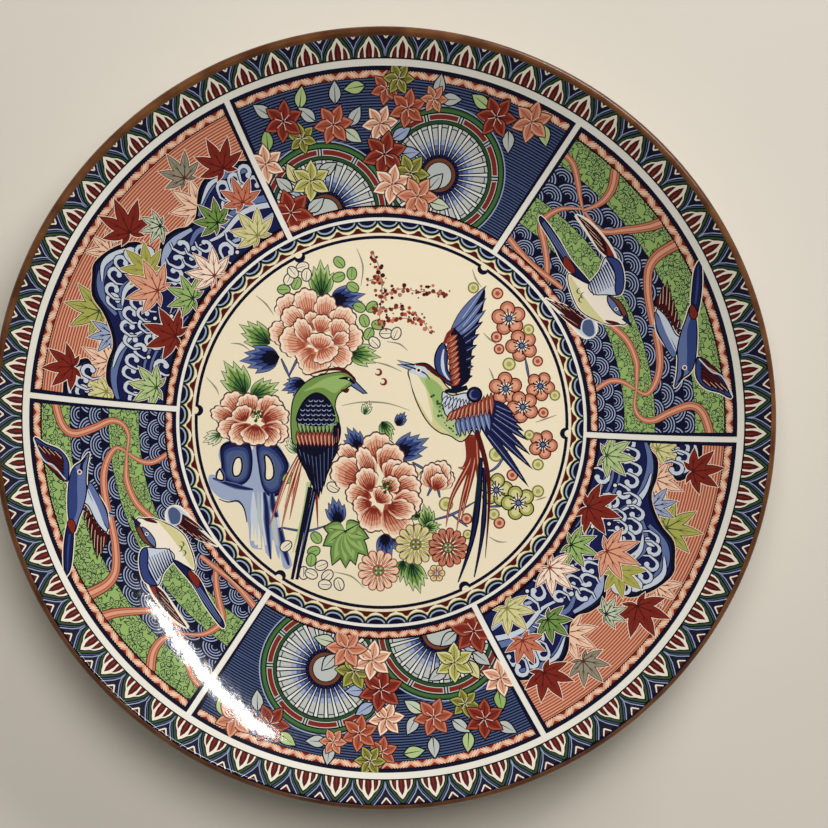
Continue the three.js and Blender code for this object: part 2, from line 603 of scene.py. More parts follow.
def draw_band():
    drawing = Drawing(polar_place(BAND_SCALE, 4.2))
    pitch = 360 * BAND_SCALE / SCALLOP_COUNT
    shake = random.Random(12)
    places = [complex(k * pitch + shake.uniform(-0.15, 0.15), 80.3) for k in range(SCALLOP_COUNT)]
    for at in places:
        side = [3.9 + 0j, 1.7 + 0.75j, 0.45 + 2.0j]
        Pen(drawing, at - 4.85j + pitch / 2).shape("maroon", both_sides(side), "umber", 0.25)
    for colour, half, depth in (("straw", 4.75, 3.85), ("forest", 4.4, 3.6), ("black", 4.15, 3.3),
                                ("mist", 3.55, 2.6), ("navy", 3.05, 1.95)):
        for at in places:
            Pen(drawing, at).fill(colour, arc(0j, half, 180, 360, 14, depth / half))
    for at in places:
        Pen(drawing, at).fill("navy", block(-pitch / 2, pitch / 2, -0.35, 0.1))
    return drawing


# --- The panels: frame, strips and grounds ----------------------------------------------------
PANEL_SCALE = math.radians(1) * 110
PANEL_WIDTH = PANEL_SPREAD * PANEL_SCALE
FIELD_LOW, FIELD_HIGH = 86.2, 134.0


def at(degrees, radius):
    """A point in a panel. The degrees run leftwards from its right-hand divider."""
    return complex((PANEL_SPREAD - degrees) * PANEL_SCALE, radius)


def upright(pen, degrees, radius, angle=0.0):
    """A pen that draws in true proportion at a place in a panel, with up being outwards."""
    def place(z):
        point = complex(radius + z.imag, -z.real)
        return pen.drawing.place(at(degrees + math.degrees(cmath.phase(point)), abs(point)))
    drawing = Drawing(place, pen.drawing.longest)
    drawing.shapes = pen.drawing.shapes
    return Pen(drawing, angle=angle)


def hatching(pen, colour, low, high, left, right):
    """Lines across the panel."""
    pitch, half = 1.05, 0.25
    for k in range(math.ceil((high - low) / pitch)):
        y = low + (k + 0.5) * pitch
        pen.fill(colour, block(left, right, y - half, y + half))


def leaf_strip(pen, low, high, pitch):
    """A zigzag of slanting leaves, three to each leg, with dark triangles in its corners."""
    left, right = 1.6, PANEL_WIDTH - 1.6
    pen.fill("brick", block(left, right, low, high))
    legs = 2 * round((right - left) / pitch)
    step = (right - left) / legs
    for i in range(legs):
        start, end = (low, high) if i % 2 else (high, low)
        x = left + i * step
        for shift, colour in ((-0.12, "peach"), (0.12, "blush"), (0.36, "blush"), (0.6, "peach")):
            a, b = complex(x + shift * step, start), complex(x + (shift + 0.6) * step, end)
            pen.line(colour, [a, (a + b) / 2, b], (0.35, 0.85, 0.35))


FRAME_LOW, FRAME_HIGH = 81, 139
LOW_BAR, HIGH_BAR = 83.0, 137.1
LOW_STRIP = (83.2, 85.6, 5.2 * PANEL_SCALE)
HIGH_STRIP = (134.3, 136.8, 4.0 * PANEL_SCALE)


def frame_bar(pen, colour, low, high):
    pen.fill(colour, block(0, PANEL_WIDTH, low, high))


def frame_sides(pen, width):
    for left in (0, PANEL_WIDTH - width):
        pen.fill("navy", block(left, left + width, FRAME_LOW, FRAME_HIGH))


def inner_frame(pen):
    frame_bar(pen, "navy", FRAME_LOW, LOW_BAR)
    leaf_strip(pen, *LOW_STRIP)


def panel_frame(pen):
    """The navy frame and the two strips of slanting leaves round the field."""
    frame_bar(pen, "black", FRAME_LOW, FIELD_LOW + 0.1)
    frame_bar(pen, "black", FIELD_HIGH - 0.1, FRAME_HIGH)
    frame_bar(pen, "navy", FRAME_LOW, LOW_BAR)
    frame_bar(pen, "navy", HIGH_BAR, FRAME_HIGH)
    leaf_strip(pen, *LOW_STRIP)
    leaf_strip(pen, *HIGH_STRIP)
    frame_sides(pen, 2.2)


def wave_pattern(pen, low, high):
    """Rows of nested arcs, like scales."""
    half, rise = 5.8, 4.1
    pen.drawing.limits = (low, high)
    frame_bar(pen, "navy", low, high)
    for row in range(math.ceil((high - low) / rise) + 1):
        foot = high - 3.4 - row * rise
        for k in range(-1, round(PANEL_WIDTH / (2 * half)) + 1):
            centre = complex((2 * k + 1 + row % 2) * half, foot)
            pen.fill("navy", arc(centre, half, 0, 180, 12, 0.86))
            for size, thick in ((5.1, 0.5), (3.9, 0.45), (2.7, 0.4), (1.5, 0.35)):
                pen.fill("mist", arc(centre, size, 0, 180, 10, 0.86))
                pen.fill("navy", arc(centre, size - thick, 0, 180, 10, 0.86))
    pen.drawing.limits = None


def blade(length, width, steps=5):
    """A pointed leaf outline from the origin along the real axis."""
    right = smooth([0j, length * 0.3 - 0.42j * width, length * 0.62 - 0.4j * width, complex(length)],
                   steps=steps)
    return right + [z.conjugate() for z in reversed(right[1:-1])]


def sprig_pattern(pen, low, high, seed):
    """A light green ground strewn with starry leaves."""
    pen.drawing.limits = (low, high)
    frame_bar(pen, "grass", low, high)
    scatter = random.Random(seed)
    step = 5.0
    for row in range(math.ceil((high - low) / step) + 1):
        for k in range(math.ceil(PANEL_WIDTH / step) + 1):
            place = complex((k + 0.5 * (row % 2)) * step, low + row * step)
            place += complex(scatter.uniform(-1.0, 1.0), scatter.uniform(-1.0, 1.0))
            star = Pen(pen.drawing, place, scatter.uniform(0, 360))
            for i in range(5):
                arm = star.moved(angle=72 * i)
                length = scatter.uniform(2.9, 3.9)
                for colour, part in (("forest", 1.0), ("sage", 0.58)):
                    side, tip = 0.95j * part, length * (0.4 + 0.6 * part)
                    arm.fill(colour, [0.3 + 0j, length * 0.5 - side, tip + 0j, length * 0.5 + side])
                arm.line("forest", [0.4 + 0j, length * 0.7 + 0j], (0.4, 0.35, 0.1))
    for edge in (low, high):
        frame_bar(pen, "ink", edge - 0.3, edge + 0.3)
    pen.drawing.limits = None


def quills(pen, count, roots, tips, tints, width):
    """A row of long feathers, each from its own root to its own tip."""
    fill, edge, light = tints
    for root, tip in zip(pen.row(roots, count), pen.row(tips, count)):
        length = abs(tip - root)
        own = pen.moved(root, math.degrees(cmath.phase(tip - root)))
        own.shape(fill, blade(length, width, 3), edge, 0.35)
        if light:
            own.line(light, [length * 0.3 - 0.16j * width, length * 0.88], (0.2, 0.22 * width, 0.15))


def scaled(width, part):
    return tuple(part * w for w in width)


def ribbon(pen, width, pairs):
    """A striped ribbon."""
    spine = smooth(pen.points(pairs), steps=5)
    for colour, part in (("bark", 1.0), ("coral", 0.82), ("rust", 0.46), ("peach", 0.32)):
        pen.line(colour, spine, scaled(width, part))


def halo(pen, *outlines):
    """A pale edge round outlines that are drawn later."""
    for pairs in outlines:
        pen.line("paper", smooth(pen.points(pairs), closed=True), 1.15, closed=True)


# --- The panel of two birds -------------------------------------------------------------------
# Feathers: fill, edge and the light line along the quill
PINIONS = ("maroon", "ink", "blush")
COVERTS = ("rust", "maroon", "blush")


def swallow(pen):
    """A diving bird seen from the side, its tail across the outer frame."""
    far_wing = (
        (14.8, 126.4), (12.4, 128.9), (10.8, 133.3), (7, 136.6), (8, 132.5), (9.2, 127.2),
        (11.6, 124.6))
    near_wing = (
        (16.4, 120.4), (18.6, 122.4), (20, 120.6), (22.6, 119.8), (24.4, 118.8), (25.6, 117),
        (22.2, 114.4), (19, 115.4), (16.6, 118))
    body = (
        (23, 129.6), (20.8, 129.2), (16.8, 127), (13.8, 124.8), (12.3, 122.6), (11.5, 119.6),
        (10, 116.3), (12.6, 117.8), (15, 119), (17.4, 120), (20, 122.8), (21.6, 125.4),
        (23.6, 128.6))
    tail = (
        (30, 138.6), (29.3, 138.4), (25.4, 134.6), (22.2, 130.6), (21.6, 128.9), (23.6, 129.2),
        (26.8, 132.4), (29.2, 135.8))
    halo(pen, far_wing, near_wing, body, tail)
    pen.blob("blue", far_wing, "ink", 0.5)
    quills(
        pen, 6, ((14.8, 126.8), (11.4, 126.4)), ((11.4, 131.8), (10.4, 134.6), (7.4, 136.6),
        (7.8, 134.6), (8.4, 132.2), (9, 129.8)), PINIONS, 2.2)
    pen.stroke(
        "pale_blue", ((14.4, 126.8), (11.8, 130.4), (10.6, 134), (7.2, 136.8)), (0.5, 0.5, 0.3))
    quills(
        pen, 9, ((19.2, 122), (25.6, 117.4)), ((18.4, 122.6), (20.2, 123.2), (22.2, 123.6),
        (24.2, 124), (26.2, 124.4), (28.2, 124.8), (29.8, 125.2), (29.6, 123.4), (28.4, 121.2)),
        PINIONS, 2.3)
    pen.blob("pale_blue", near_wing, "ink", 0.5)
    pen.blob(
        "steel", ((17, 119.4), (20.4, 117.2), (24.4, 116.6), (22, 115), (19, 116), (17, 118)))
    belly = ((16.8, 119.2), (20.4, 118), (25.3, 116.3), (22.2, 114.6), (18.4, 115.6), (15.8, 117.4))
    pen.blob("steel", belly, "ink", 0.4)
    pen.stroke("pale_blue", ((24.4, 117.2), (20.6, 117.8), (16.8, 119)), (0.3, 0.9, 0.4))
    pen.blob("steel", body, "ink", 0.5)
    back = (
        (22.4, 129.2), (20.6, 128.9), (16.8, 126.8), (13.8, 124.6), (12.4, 122.4), (13.8, 122),
        (16, 123), (18.6, 124.2), (20.6, 125.8))
    pen.blob("blue", back)
    pen.stroke("navy", ((13.2, 120.2), (12, 119.6), (10.8, 117.4)), (1.4, 1, 0.3))
    pen.dot("brick", at(13.4, 121), 0.75, "paper", 0.35)
    pen.blob("indigo", tail, "black", 0.5)
    pen.stroke("blue", ((29.4, 137.2), (26.4, 133.9), (23.8, 130.9)), (0.3, 0.8, 0.7))
    pen.blob("brick", ((24, 129.8), (22, 130.6), (21.4, 128.4), (22.6, 127.6)), "ink", 0.35)


def finch(pen):
    """A bird with a raised striped wing and a long dark tail."""
    far_wing = (
        (50.2, 112.1), (47.6, 113.8), (42, 114), (38, 112.6), (39.2, 110.4), (42.8, 109.8),
        (47.6, 111))
    tail = (
        (37, 99.4), (44, 98.9), (50, 101.2), (55.6, 103.2), (54.8, 100.9), (48.8, 97.8),
        (44.8, 95.8), (41.6, 96), (38.6, 97.6))
    body = (
        (25.4, 104.4), (25.8, 101.8), (26.8, 98), (29.6, 93.4), (32.8, 90.6), (36, 90.6),
        (40, 92.4), (42, 94.9), (40, 96.4), (37.2, 99), (36.6, 104), (33.4, 107),
        (31.4, 103.6), (28.4, 105.4))
    wing = (
        (37, 98.4), (38.2, 104.8), (39.8, 110), (37.6, 113.2), (34.4, 111.6), (32, 108.4),
        (31.8, 105.8), (33.2, 101.8), (34.6, 98.4))
    halo(pen, far_wing, tail, body, wing)
    pen.blob("brick", far_wing, "paper", 0.7)
    quills(
        pen, 4, ((41.5, 112.8), (39.6, 110.8)), ((50.2, 112.4), (48.6, 112), (46.8, 111.4),
        (44.6, 110.6)), PINIONS, 1.7)
    lower_wing = (
        (28.2, 93.8), (26, 92), (25.6, 88.8), (27.2, 86.2), (31.2, 84.4), (35.2, 82.9),
        (40.6, 81.6), (38.6, 83.6), (36, 86.6), (32, 89.2), (29.6, 91.4))
    pen.blob("pale_blue", lower_wing, "paper", 0.9)
    quills(
        pen, 6, ((27.4, 88.6), (29.4, 90.6)), ((35, 82.8), (40.4, 81.8), (38.8, 83.8), (37.4, 85.4),
        (35.6, 87.2), (33, 88.4)), PINIONS, 2.1)
    pen.blob(
        "denim", ((29.4, 93), (26.2, 92), (25.8, 89), (28, 87.4), (30.2, 89.8)), "pale_blue",
        0.6)
    pen.blob("indigo", tail, "black", 0.5)
    for k in range(3):
        pen.stroke(
            "steel", ((54.6, 102.4 - 0.5 * k), (49, 100.2 - 0.8 * k), (42, 97.9 - 0.5 * k)),
            (0.2, 0.45, 0.3))
    pen.blob("brick", ((45.6, 98.4), (42, 98), (41.4, 96.2), (44.4, 95.6)), "ink", 0.35)
    pen.blob("paper", body, "ink", 0.45)
    pen.blob(
        "straw", ((27.4, 97), (29.8, 93.6), (32.8, 91.2), (36, 91.2), (39.8, 92.8), (41.2, 94.9),
        (36, 94.6), (31.6, 95.4)))
    pen.blob("pale_blue", wing, "ink", 0.45)
    for k in range(13):
        low = 98.4 + 1.08 * k
        pen.line(
            "indigo", pen.points(((37.2 + 0.19 * k, low + 0.9), (34.3 - 0.05 * k, low - 0.4))),
            (0.7, 0.55, 0.25))
    pen.blob(
        "blue", ((39.7, 110.2), (37.6, 113.2), (34.4, 111.6), (32, 108.4), (31.8, 105.8),
        (33.4, 106.6), (35, 108.6), (37.2, 110)), "navy", 0.5)
    for x, y in ((37, 94.6), (35.6, 94.9), (35, 93.4)):
        pen.line("forest", arc(at(x, y), 1.3, 150, 330, 8), (0.2, 0.6, 0.2))
    cap = (
        (33, 102.6), (31.6, 104.4), (30.2, 105.8), (27.8, 106.2), (25.6, 105.5), (26.2, 104.4),
        (28.6, 104.3), (31.2, 103.4))
    pen.blob("umber", cap, "ink", 0.4)
    pen.blob(
        "steel", ((32.6, 102.6), (30.4, 104), (27.4, 104), (28.6, 102.2), (31, 101.4)), "ink",
        0.45)
    pen.shape("indigo", pen.points(((27.2, 105.4), (23.8, 106.2), (26.6, 103.6))), "ink", 0.4)
    pen.dot("ink", at(29.2, 103.2), 0.6, "paper", 0.3)
    pen.blob("maroon", ((26.6, 101.2), (25.6, 102.2), (26.8, 98.6), (28, 97.6)))


# A ribbon's start, middle and end width, then its course
RIBBONS = (
    ((3, 2.8, 2.6), (52.6, 97.6), (48, 92), (45, 87.6), (44, 84)),
    ((3, 3, 2), (60, 89.6), (56, 87.8), (51, 86.6), (46, 87.4), (40, 89.4)),
    ((2.6, 2.4, 1), (60, 127.2), (57, 126), (54, 121.4), (52, 118), (49.8, 115)),
    ((3.8, 3, 1), (50.6, 134), (49, 129), (48.4, 124), (48.8, 119.5), (50, 115)),
    ((3.8, 3, 1.2), (38.8, 134), (39.6, 129), (41.6, 122), (44.6, 114.6), (49.5, 115.2)),
    ((0.9, 3.2, 3), (50.2, 115.4), (53.4, 110.2), (54.8, 104), (54.4, 100), (52.6, 97.6)),
    ((4.2, 3.6, 3), (34.4, 134), (34.4, 126), (32.8, 120.4), (28.4, 116), (23, 113.8)),
    ((3.2, 3, 1), (22, 114), (15.6, 112.4), (11.6, 109.4), (9.4, 105.4), (10.6, 101.6)),
    ((1, 3, 2.6), (10.6, 101.6), (13, 96.6), (13.6, 91.4), (11.8, 85)),
    ((3, 2.8, 1), (26.4, 98.8), (22, 102.4), (17, 103.6), (13.4, 102.6), (10.6, 101.6)),
    ((1, 3.2, 3.4), (10.6, 101.6), (7, 100.4), (4.4, 102.4), (3.6, 107), (5.2, 114),
     (6.2, 121.4), (4.6, 126), (0, 129.2)))


def draw_birds(pen):
    sprig_pattern(pen, 96, 108.2, 22)
    sprig_pattern(pen, 122.8, FIELD_HIGH, 21)
    wave_pattern(pen, FIELD_LOW, 96)
    wave_pattern(pen, 108.2, 122.8)
    for width, *pairs in RIBBONS:
        ribbon(pen, width, pairs)
    panel_frame(pen)
    swallow(pen)
    finch(pen)


# --- Leaves and flowers -----------------------------------------------------------------------
def leaf(pen, length, width, colour):
    pen.shape(colour, blade(length, width), "ink", 0.5)
    pen.line("ink", [0.05 * length, 0.8 * length], (0.5, 0.35, 0.1))


def lily(pen, radius, colour, light, edge):
    """A star of six pointed petals with pale edges and stamens."""
    turns = [pen.moved(angle=60 * k) for k in range(6)]
    for own in turns:
        own.shape(light, blade(radius, radius * 0.64), edge, 0.4)
        own.fill(colour, blade(radius * 0.86, radius * 0.4))
    for own in turns:
        own.line(edge, [radius * 0.12, radius * 0.8], (0.3, 0.4, 0.1))
        own.line("shell", [radius * (0.06 + 0.02j), radius * (0.4 + 0.13j)], (0.2, 0.35, 0.2))
        own.dot("brick", radius * (0.42 + 0.14j), 0.3, steps=6)


MAPLE_LOBES = ((0, 1.16), (40, 1.1), (-40, 1.1), (80, 0.92), (-80, 0.92), (124, 0.5), (-124, 0.5))


def maple(pen, radius, colour, vein):
    """A leaf of seven lobes with a pale halo."""
    lobes = [(pen.moved(angle=90 + angle), radius * part) for angle, part in MAPLE_LOBES]
    for layer, extra in (("shell", 0.62), (vein, 0.28), (colour, -0.16)):
        for lobe_pen, length in lobes:
            outline = blade(length + 2.4 * extra, length * 0.35 + 1.6 * extra, 3)
            lobe_pen.fill(layer, [z - extra for z in outline])
    for lobe_pen, length in lobes:
        lobe_pen.line(vein, [0j, length * 0.85], (0.5, 0.4, 0.1))
        for side in (-1, 1):
            lobe_pen.line(vein, [length * 0.34, length * (0.6 + 0.09j * side)], (0.25, 0.25, 0.1))


# --- The panel of cart wheels -----------------------------------------------------------------
def wheel(pen, radius):
    """A spoked wheel with a banded rim."""
    for part, colour in ((1, "mist"), (0.982, "black"), (0.965, "forest"), (0.95, "fern"),
                         (0.905, "black"), (0.885, "fog"), (0.872, "brick"), (0.805, "fog"),
                         (0.793, "black"), (0.783, "forest"), (0.745, "black"), (0.73, "fog"),
                         (0.695, "ink"), (0.68, "fog"), (0.52, "mist"), (0.44, "steel"), (0.37, "blue"),
                         (0.31, "indigo")):
        pen.fill(colour, ring_points(0j, radius * part, 64))
    for k in range(10):
        bar = pen.moved(angle=36 * k + 9)
        for colour, across in (("fog", 1.3), ("navy", 0.85), ("fog", 0.3)):
            bar.fill(colour, [complex(radius * x, y) for x, y in
                              ((0.793, -across), (0.885, -across), (0.885, across), (0.793, across))])
    spokes = 28
    for k in range(spokes):
        spoke = pen.moved(angle=360 * k / spokes)
        spoke.line("ink", [radius * 0.26, radius * 0.735], (0.9, 1.45, 2.1))
        spoke.line("white", [radius * 0.3, radius * 0.725], (0.15, 0.6, 1.15))
    for part, colour in ((0.262, "ink"), (0.247, "umber"), (0.2, "ink"), (0.185, "fog")):
        pen.fill(colour, ring_points(0j, radius * part, 28))


LILY_TINTS = {"brick": ("brick", "rust", "ink"), "rust": ("brick", "rust", "maroon"),
              "coral": ("rust", "coral", "maroon"), "peach": ("coral", "peach", "bark"),
              "blush": ("peach", "shell", "bark"), "moss": ("olive", "moss", "pine"),
              "straw": ("moss", "straw", "pine")}
WHEEL_LILIES = (
    (33, 130.5, 20, 6.4, "coral"), (31, 134, 0, 6.2, "moss"), (49.5, 116, 30, 6, "moss"),
    (52, 124, 10, 8, "brick"), (58, 111.5, 15, 7.6, "blush"), (43, 118.5, 0, 7.8, "coral"),
    (13, 127.5, 12, 8, "brick"), (7, 131, 40, 7.8, "peach"), (29, 123.5, 25, 7.4, "coral"),
    (24.5, 128, 5, 5.4, "peach"), (34, 117.5, 8, 7.2, "blush"), (33, 106, 20, 9, "brick"),
    (27, 99.5, 0, 7.6, "moss"), (31, 94.5, 24, 8, "blush"), (24.5, 90.8, 6, 8.2, "peach"),
    (50, 99.5, 14, 8, "straw"), (57, 90.5, 26, 9.2, "rust"))
WHEEL_LEAVES = (
    (55, 130, 130, "fog"), (48, 130.5, 70, "sage"), (42, 130, 85, "fog"), (47.5, 124, 130, "fog"),
    (38.5, 131, 185, "sage"), (38.8, 120.5, 55, "fog"), (56, 119.5, 75, "grass"),
    (39.5, 113.5, -40, "celadon"), (24, 133, 90, "fog"), (21.6, 129, 10, "fog"),
    (16.5, 131, 160, "sage"), (4, 129, -50, "sage"), (9.3, 121, -65, "fog"), (29.8, 114, 35, "mist"),
    (35, 111, -80, "mist"), (27.8, 107, 10, "mist"), (45.8, 102.5, 20, "fog"), (56, 101.5, 120, "fog"),
    (50.5, 90, 25, "fog"), (18.8, 89.5, 0, "celadon"), (21, 97.5, 60, "fog"),
    (53.5, 104.5, 100, "straw"))


def draw_wheels(pen):
    frame_bar(pen, "navy", FIELD_LOW, FIELD_HIGH)
    hatching(pen, "denim", 108, FIELD_HIGH, 2, PANEL_WIDTH - 2)
    hatching(pen, "denim", FIELD_LOW, 108, PANEL_WIDTH - 26, PANEL_WIDTH - 2)
    wheel(upright(pen, 20.5, 100.5), 26.3)
    wheel(upright(pen, 48.5, 86.5), 27.3)
    panel_frame(pen)
    for degrees, radius, angle, colour in WHEEL_LEAVES:
        leaf(upright(pen, degrees, radius, angle).moved(-4.4), 9, 5.2, colour)
    for degrees, radius, angle, size, tint in WHEEL_LILIES:
        lily(upright(pen, degrees, radius, angle), 1.04 * size, *LILY_TINTS[tint])
    inner_frame(pen)


# --- The panel of maple leaves on waves -------------------------------------------------------
def curl(pen, degrees, radius, size, angle, mirror):
    """The rolled tip of a wave: a hook that ends in a ball."""
    hook = upright(pen, degrees, radius, angle).moved(mirror=mirror, size=size)
    spine = [-0.8 - 2.1j, -1.25 - 1.1j] + arc(0j, 0.95, 165, -60, 7)
    for colour, extra in (("ink", 0.8), ("pale_blue", 0)):
        hook.line(colour, spine, (0.2 * size + extra, 0.66 * size + extra, 0.66 * size + extra))
        hook.dot(colour, spine[-1] - 0.15, 0.46 + extra / (2 * size), steps=10)


def foam(pen, count, size, lean, mirror, pairs):
    """A row of curls along a curve."""
    spine = smooth([complex(*pair) for pair in pairs], steps=8)
    for k in range(count):
        place = spine[round((len(spine) - 1) * k / (count - 1))]
        curl(pen, place.real, place.imag, size, lean, mirror)


def flow(pen, colour, width, pairs):
    spine = smooth(pen.points(pairs), steps=5)
    pen.line("ink", spine, tuple(w + 0.8 for w in width))
    pen.line(colour, spine, width)


WATER = (
    (60, 106.6), (57.6, 105.8), (55.6, 109.2), (52, 110.2), (48.4, 109.6), (45.4, 112), (42.4, 117.4),
    (40.4, 123.6), (37.2, 126.8), (35.2, 128.2), (32, 125.8), (29.6, 122.6), (27.8, 118.6), (28.6, 116),
    (31.4, 116.6), (33.4, 112), (32, 106), (29.6, 106.6), (26, 110.4), (24, 111.9), (20.8, 110.6),
    (18.8, 108.2), (16.4, 108.4), (14.8, 110.4), (12, 115.8), (9.2, 118), (6.8, 116.8), (4, 117.4),
    (0, 114))
CREST = (
    (60, 125.2), (57.6, 125.6), (55.2, 125.4), (53.4, 122.6), (52.2, 118.6), (54.2, 116.4),
    (56.8, 117.6), (60, 116.6))
BACK_MAPLES = (
    (57.6, 109.4, 24, 9.4, "straw", "olive"), (51.4, 110.4, -14, 9.6, "blush", "brick"),
    (42.6, 119.4, 10, 11.6, "moss", "forest"), (45.8, 111.6, 28, 8.4, "mist", "navy"),
    (32, 125.6, 35, 8.6, "blush", "brick"), (14.2, 110.6, 20, 11, "blush", "brick"))
MAPLES = (
    (54, 123.6, 14, 10, "brick", "maroon"), (27.2, 123.8, -28, 11.6, "brick", "maroon"),
    (22.4, 116.4, 60, 7, "celadon", "pine"), (13, 123, 0, 9.2, "smoke", "bark"),
    (5.9, 117.6, 0, 10.6, "brick", "maroon"), (30.9, 109.8, -8, 10, "moss", "olive"),
    (33.4, 102.6, 6, 11.6, "peach", "brick"), (13.2, 102, 10, 8.6, "leaf", "pine"),
    (6, 102.8, -8, 8.6, "coral", "brick"), (55, 90.2, 0, 9.6, "sage", "forest"),
    (41, 88.4, 4, 11.4, "brick", "maroon"), (30.4, 89.4, 12, 9.2, "grass", "pine"),
    (22.4, 88, -4, 10.2, "shell", "brick"), (7.2, 88.8, 8, 10, "straw", "olive"))


def scatter_maples(pen, leaves):
    for degrees, radius, angle, size, colour, vein in leaves:
        maple(upright(pen, degrees, radius, angle), size, colour, vein)


# A current's colour, its start, middle and end width, and its course
FLOWS = (
    ("steel", (1, 3.4, 1.2), (59, 104.6), (55, 107.2), (50, 107.4), (45.6, 104.6), (42, 99)),
    ("pale_blue", (0.4, 2.2, 0.4), (52.4, 108.4), (48.6, 107.6), (45.4, 104.8), (42.6, 100.4)),
    ("steel", (1.2, 3.2, 1), (42, 113), (39.6, 121), (36, 124.4), (31.6, 122.6), (28.4, 117)),
    ("pale_blue", (0.4, 2.4, 0.4), (37.4, 123), (34.6, 125.6), (31.6, 123.4), (29.2, 119.6)),
    ("steel", (1.2, 3.4, 1.2), (43.4, 108), (39.6, 113.4), (36.2, 114), (32.4, 109), (30, 103)),
    ("pale_blue", (0.4, 2.6, 0.4), (39.8, 112.2), (36.6, 113.6), (33.4, 110.8), (31.4, 106.6)),
    ("mist", (1, 3.2, 1.2), (30.4, 103.4), (26.6, 107.6), (23, 108.8), (18.4, 106.8)),
    ("steel", (1, 2.8, 3), (22.4, 101.6), (17.8, 104.6), (13, 100.4), (7, 101.4), (0, 99.4)),
    ("pale_blue", (0.4, 1.8, 2.2), (19.6, 100.4), (14, 97.4), (7, 99.4), (0, 96.4)),
    ("mist", (1, 2, 1), (14, 93), (9, 91.6), (0, 93.4)),
    ("steel", (1, 3.4, 1.8), (15.4, 108.6), (11.6, 113.2), (7.6, 115.8), (3, 113.6), (0, 112)),
    ("pale_blue", (0.4, 1.8, 0.6), (13.4, 111.6), (9.8, 115.4), (6.8, 115)),
    ("pale_blue", (0.4, 2.2, 0.6), (59.6, 122.8), (57.2, 124), (54.8, 122.6), (53.4, 119.6)))
# A row of curls: how many, their size, lean and hand, and the curve they stand on
FOAM = (
    (4, 2.2, 8, False, (12, 103.6), (7, 106.2), (2, 107.4)),
    (7, 2.2, 0, False, (58.4, 98.2), (54.2, 101.6), (50, 101.8), (45.6, 98.4), (42.8, 94.4)),
    (7, 2.2, 0, False, (39.6, 116.4), (36.6, 119.6), (32.6, 120.4), (29.2, 117.4), (28.2, 113.8)),
    (4, 2.3, 0, False, (45.8, 104.6), (43.4, 107.4), (40.6, 108.4), (37.8, 107.8)),
    (3, 2, 0, False, (41.6, 101.6), (39.4, 103.8), (36.8, 103.4)),
    (4, 2.3, 0, True, (30.2, 96.8), (28.2, 100), (25.6, 102.2), (22.6, 104.6)),
    (3, 2, 0, True, (23.4, 97.6), (21.4, 99.6), (18.8, 98.4)),
    (3, 2.3, 0, False, (8, 111.6), (5.2, 111.8), (2.6, 112.6)),
    (3, 2.2, 0, False, (58.2, 118.8), (56.4, 119.6), (54.2, 117.6)),
    (2, 2.4, 0, False, (49.6, 90.2), (40.6, 93.4)))
SPRAY = ((48.2, 95.8), (39.2, 98.6), (37, 93.2), (26.2, 94.6), (59, 91.8), (14, 88.4))


def draw_maples(pen):
    frame_bar(pen, "rust", FIELD_LOW, FIELD_HIGH)
    hatching(pen, "peach", 104, FIELD_HIGH, 2, PANEL_WIDTH - 2)
    scatter_maples(pen, BACK_MAPLES)
    water = smooth(pen.points(WATER), steps=4) + pen.points(((0, FIELD_LOW), (60, FIELD_LOW)))
    for outline in (water, smooth(pen.points(CREST), steps=4)):
        pen.line("blush", outline, 2, closed=True)
        pen.shape("indigo", outline, "ink", 1.4)
    for colour, width, *pairs in FLOWS:
        flow(pen, colour, width, pairs)
    for low in (88.6, 91.4, 94):
        flow(pen, "steel", (0.5, 1.1, 0.4),
             ((58, low), (50, low + 2.6), (42, low + 0.6), (35, low - 1.2)))
        flow(pen, "mist", (0.4, 0.9, 0.4),
             ((37, low), (30, low + 1.8), (24, low + 0.2), (18, low - 1)))
    for count, size, lean, mirror, *pairs in FOAM:
        foam(pen, count, size, lean, mirror, pairs)
    curl(pen, 15.8, 92, 2.5, 0, False)
    curl(pen, 12, 92, 2.5, 0, True)
    for degrees, radius in SPRAY:
        upright(pen, degrees, radius).dot("white", 0j, 0.95, "ink", 0.5)
    panel_frame(pen)
    scatter_maples(pen, MAPLES)
    inner_frame(pen)
    frame_sides(pen, 2)


# --- The centre: flowers, a rock and two birds ------------------------------------------------
# Each flower's lines, then how far from a petal's foot each tint reaches
SALMON = ("rust", ((1, "shell"), (0.9, "blush"), (0.74, "peach"), (0.42, "coral")))
RUSSET = ("brick", ((1, "shell"), (0.9, "blush"), (0.8, "peach"), (0.6, "coral"), (0.36, "rust")))


def peony_petal(pen, base, tip, width, tints):
    """A petal with a wavy outer edge, pale there and deepening to its base."""
    scallops = 5
    own = pen.moved(base, math.degrees(cmath.phase(tip - base)))
    length = abs(tip - base)
    outline = [0j, length * 0.22 - 0.62j * width]
    for i in range(3 * scallops + 1):
        angle = math.radians(-108 + 216 * i / (3 * scallops))
        bump = 0.92 + 0.14 * abs(math.sin(math.pi * i / 3))
        outline.append(complex(length * (0.52 + 0.48 * math.cos(angle) * bump),
                               width * math.sin(angle) * bump))
    outline.append(length * 0.22 + 0.62j * width)
    own.fill("bark", [0.03 * length + z + 0.3 * (z - 0.5 * length) / abs(z - 0.5 * length)
                      for z in outline])
    dark, layers = tints
    for part, colour in layers:
        own.fill(colour, [part * z for z in outline])
    for i in range(-4, 5):
        end = 0.94 - 0.05 * abs(i) - 0.12 * (i % 2)
        line = [length * 0.12 + 0.06j * i * width, length * end * 0.6 + 0.17j * i * width,
                length * end + 0.2j * i * width]
        own.line(dark, line, (0.55, 0.34, 0.08))


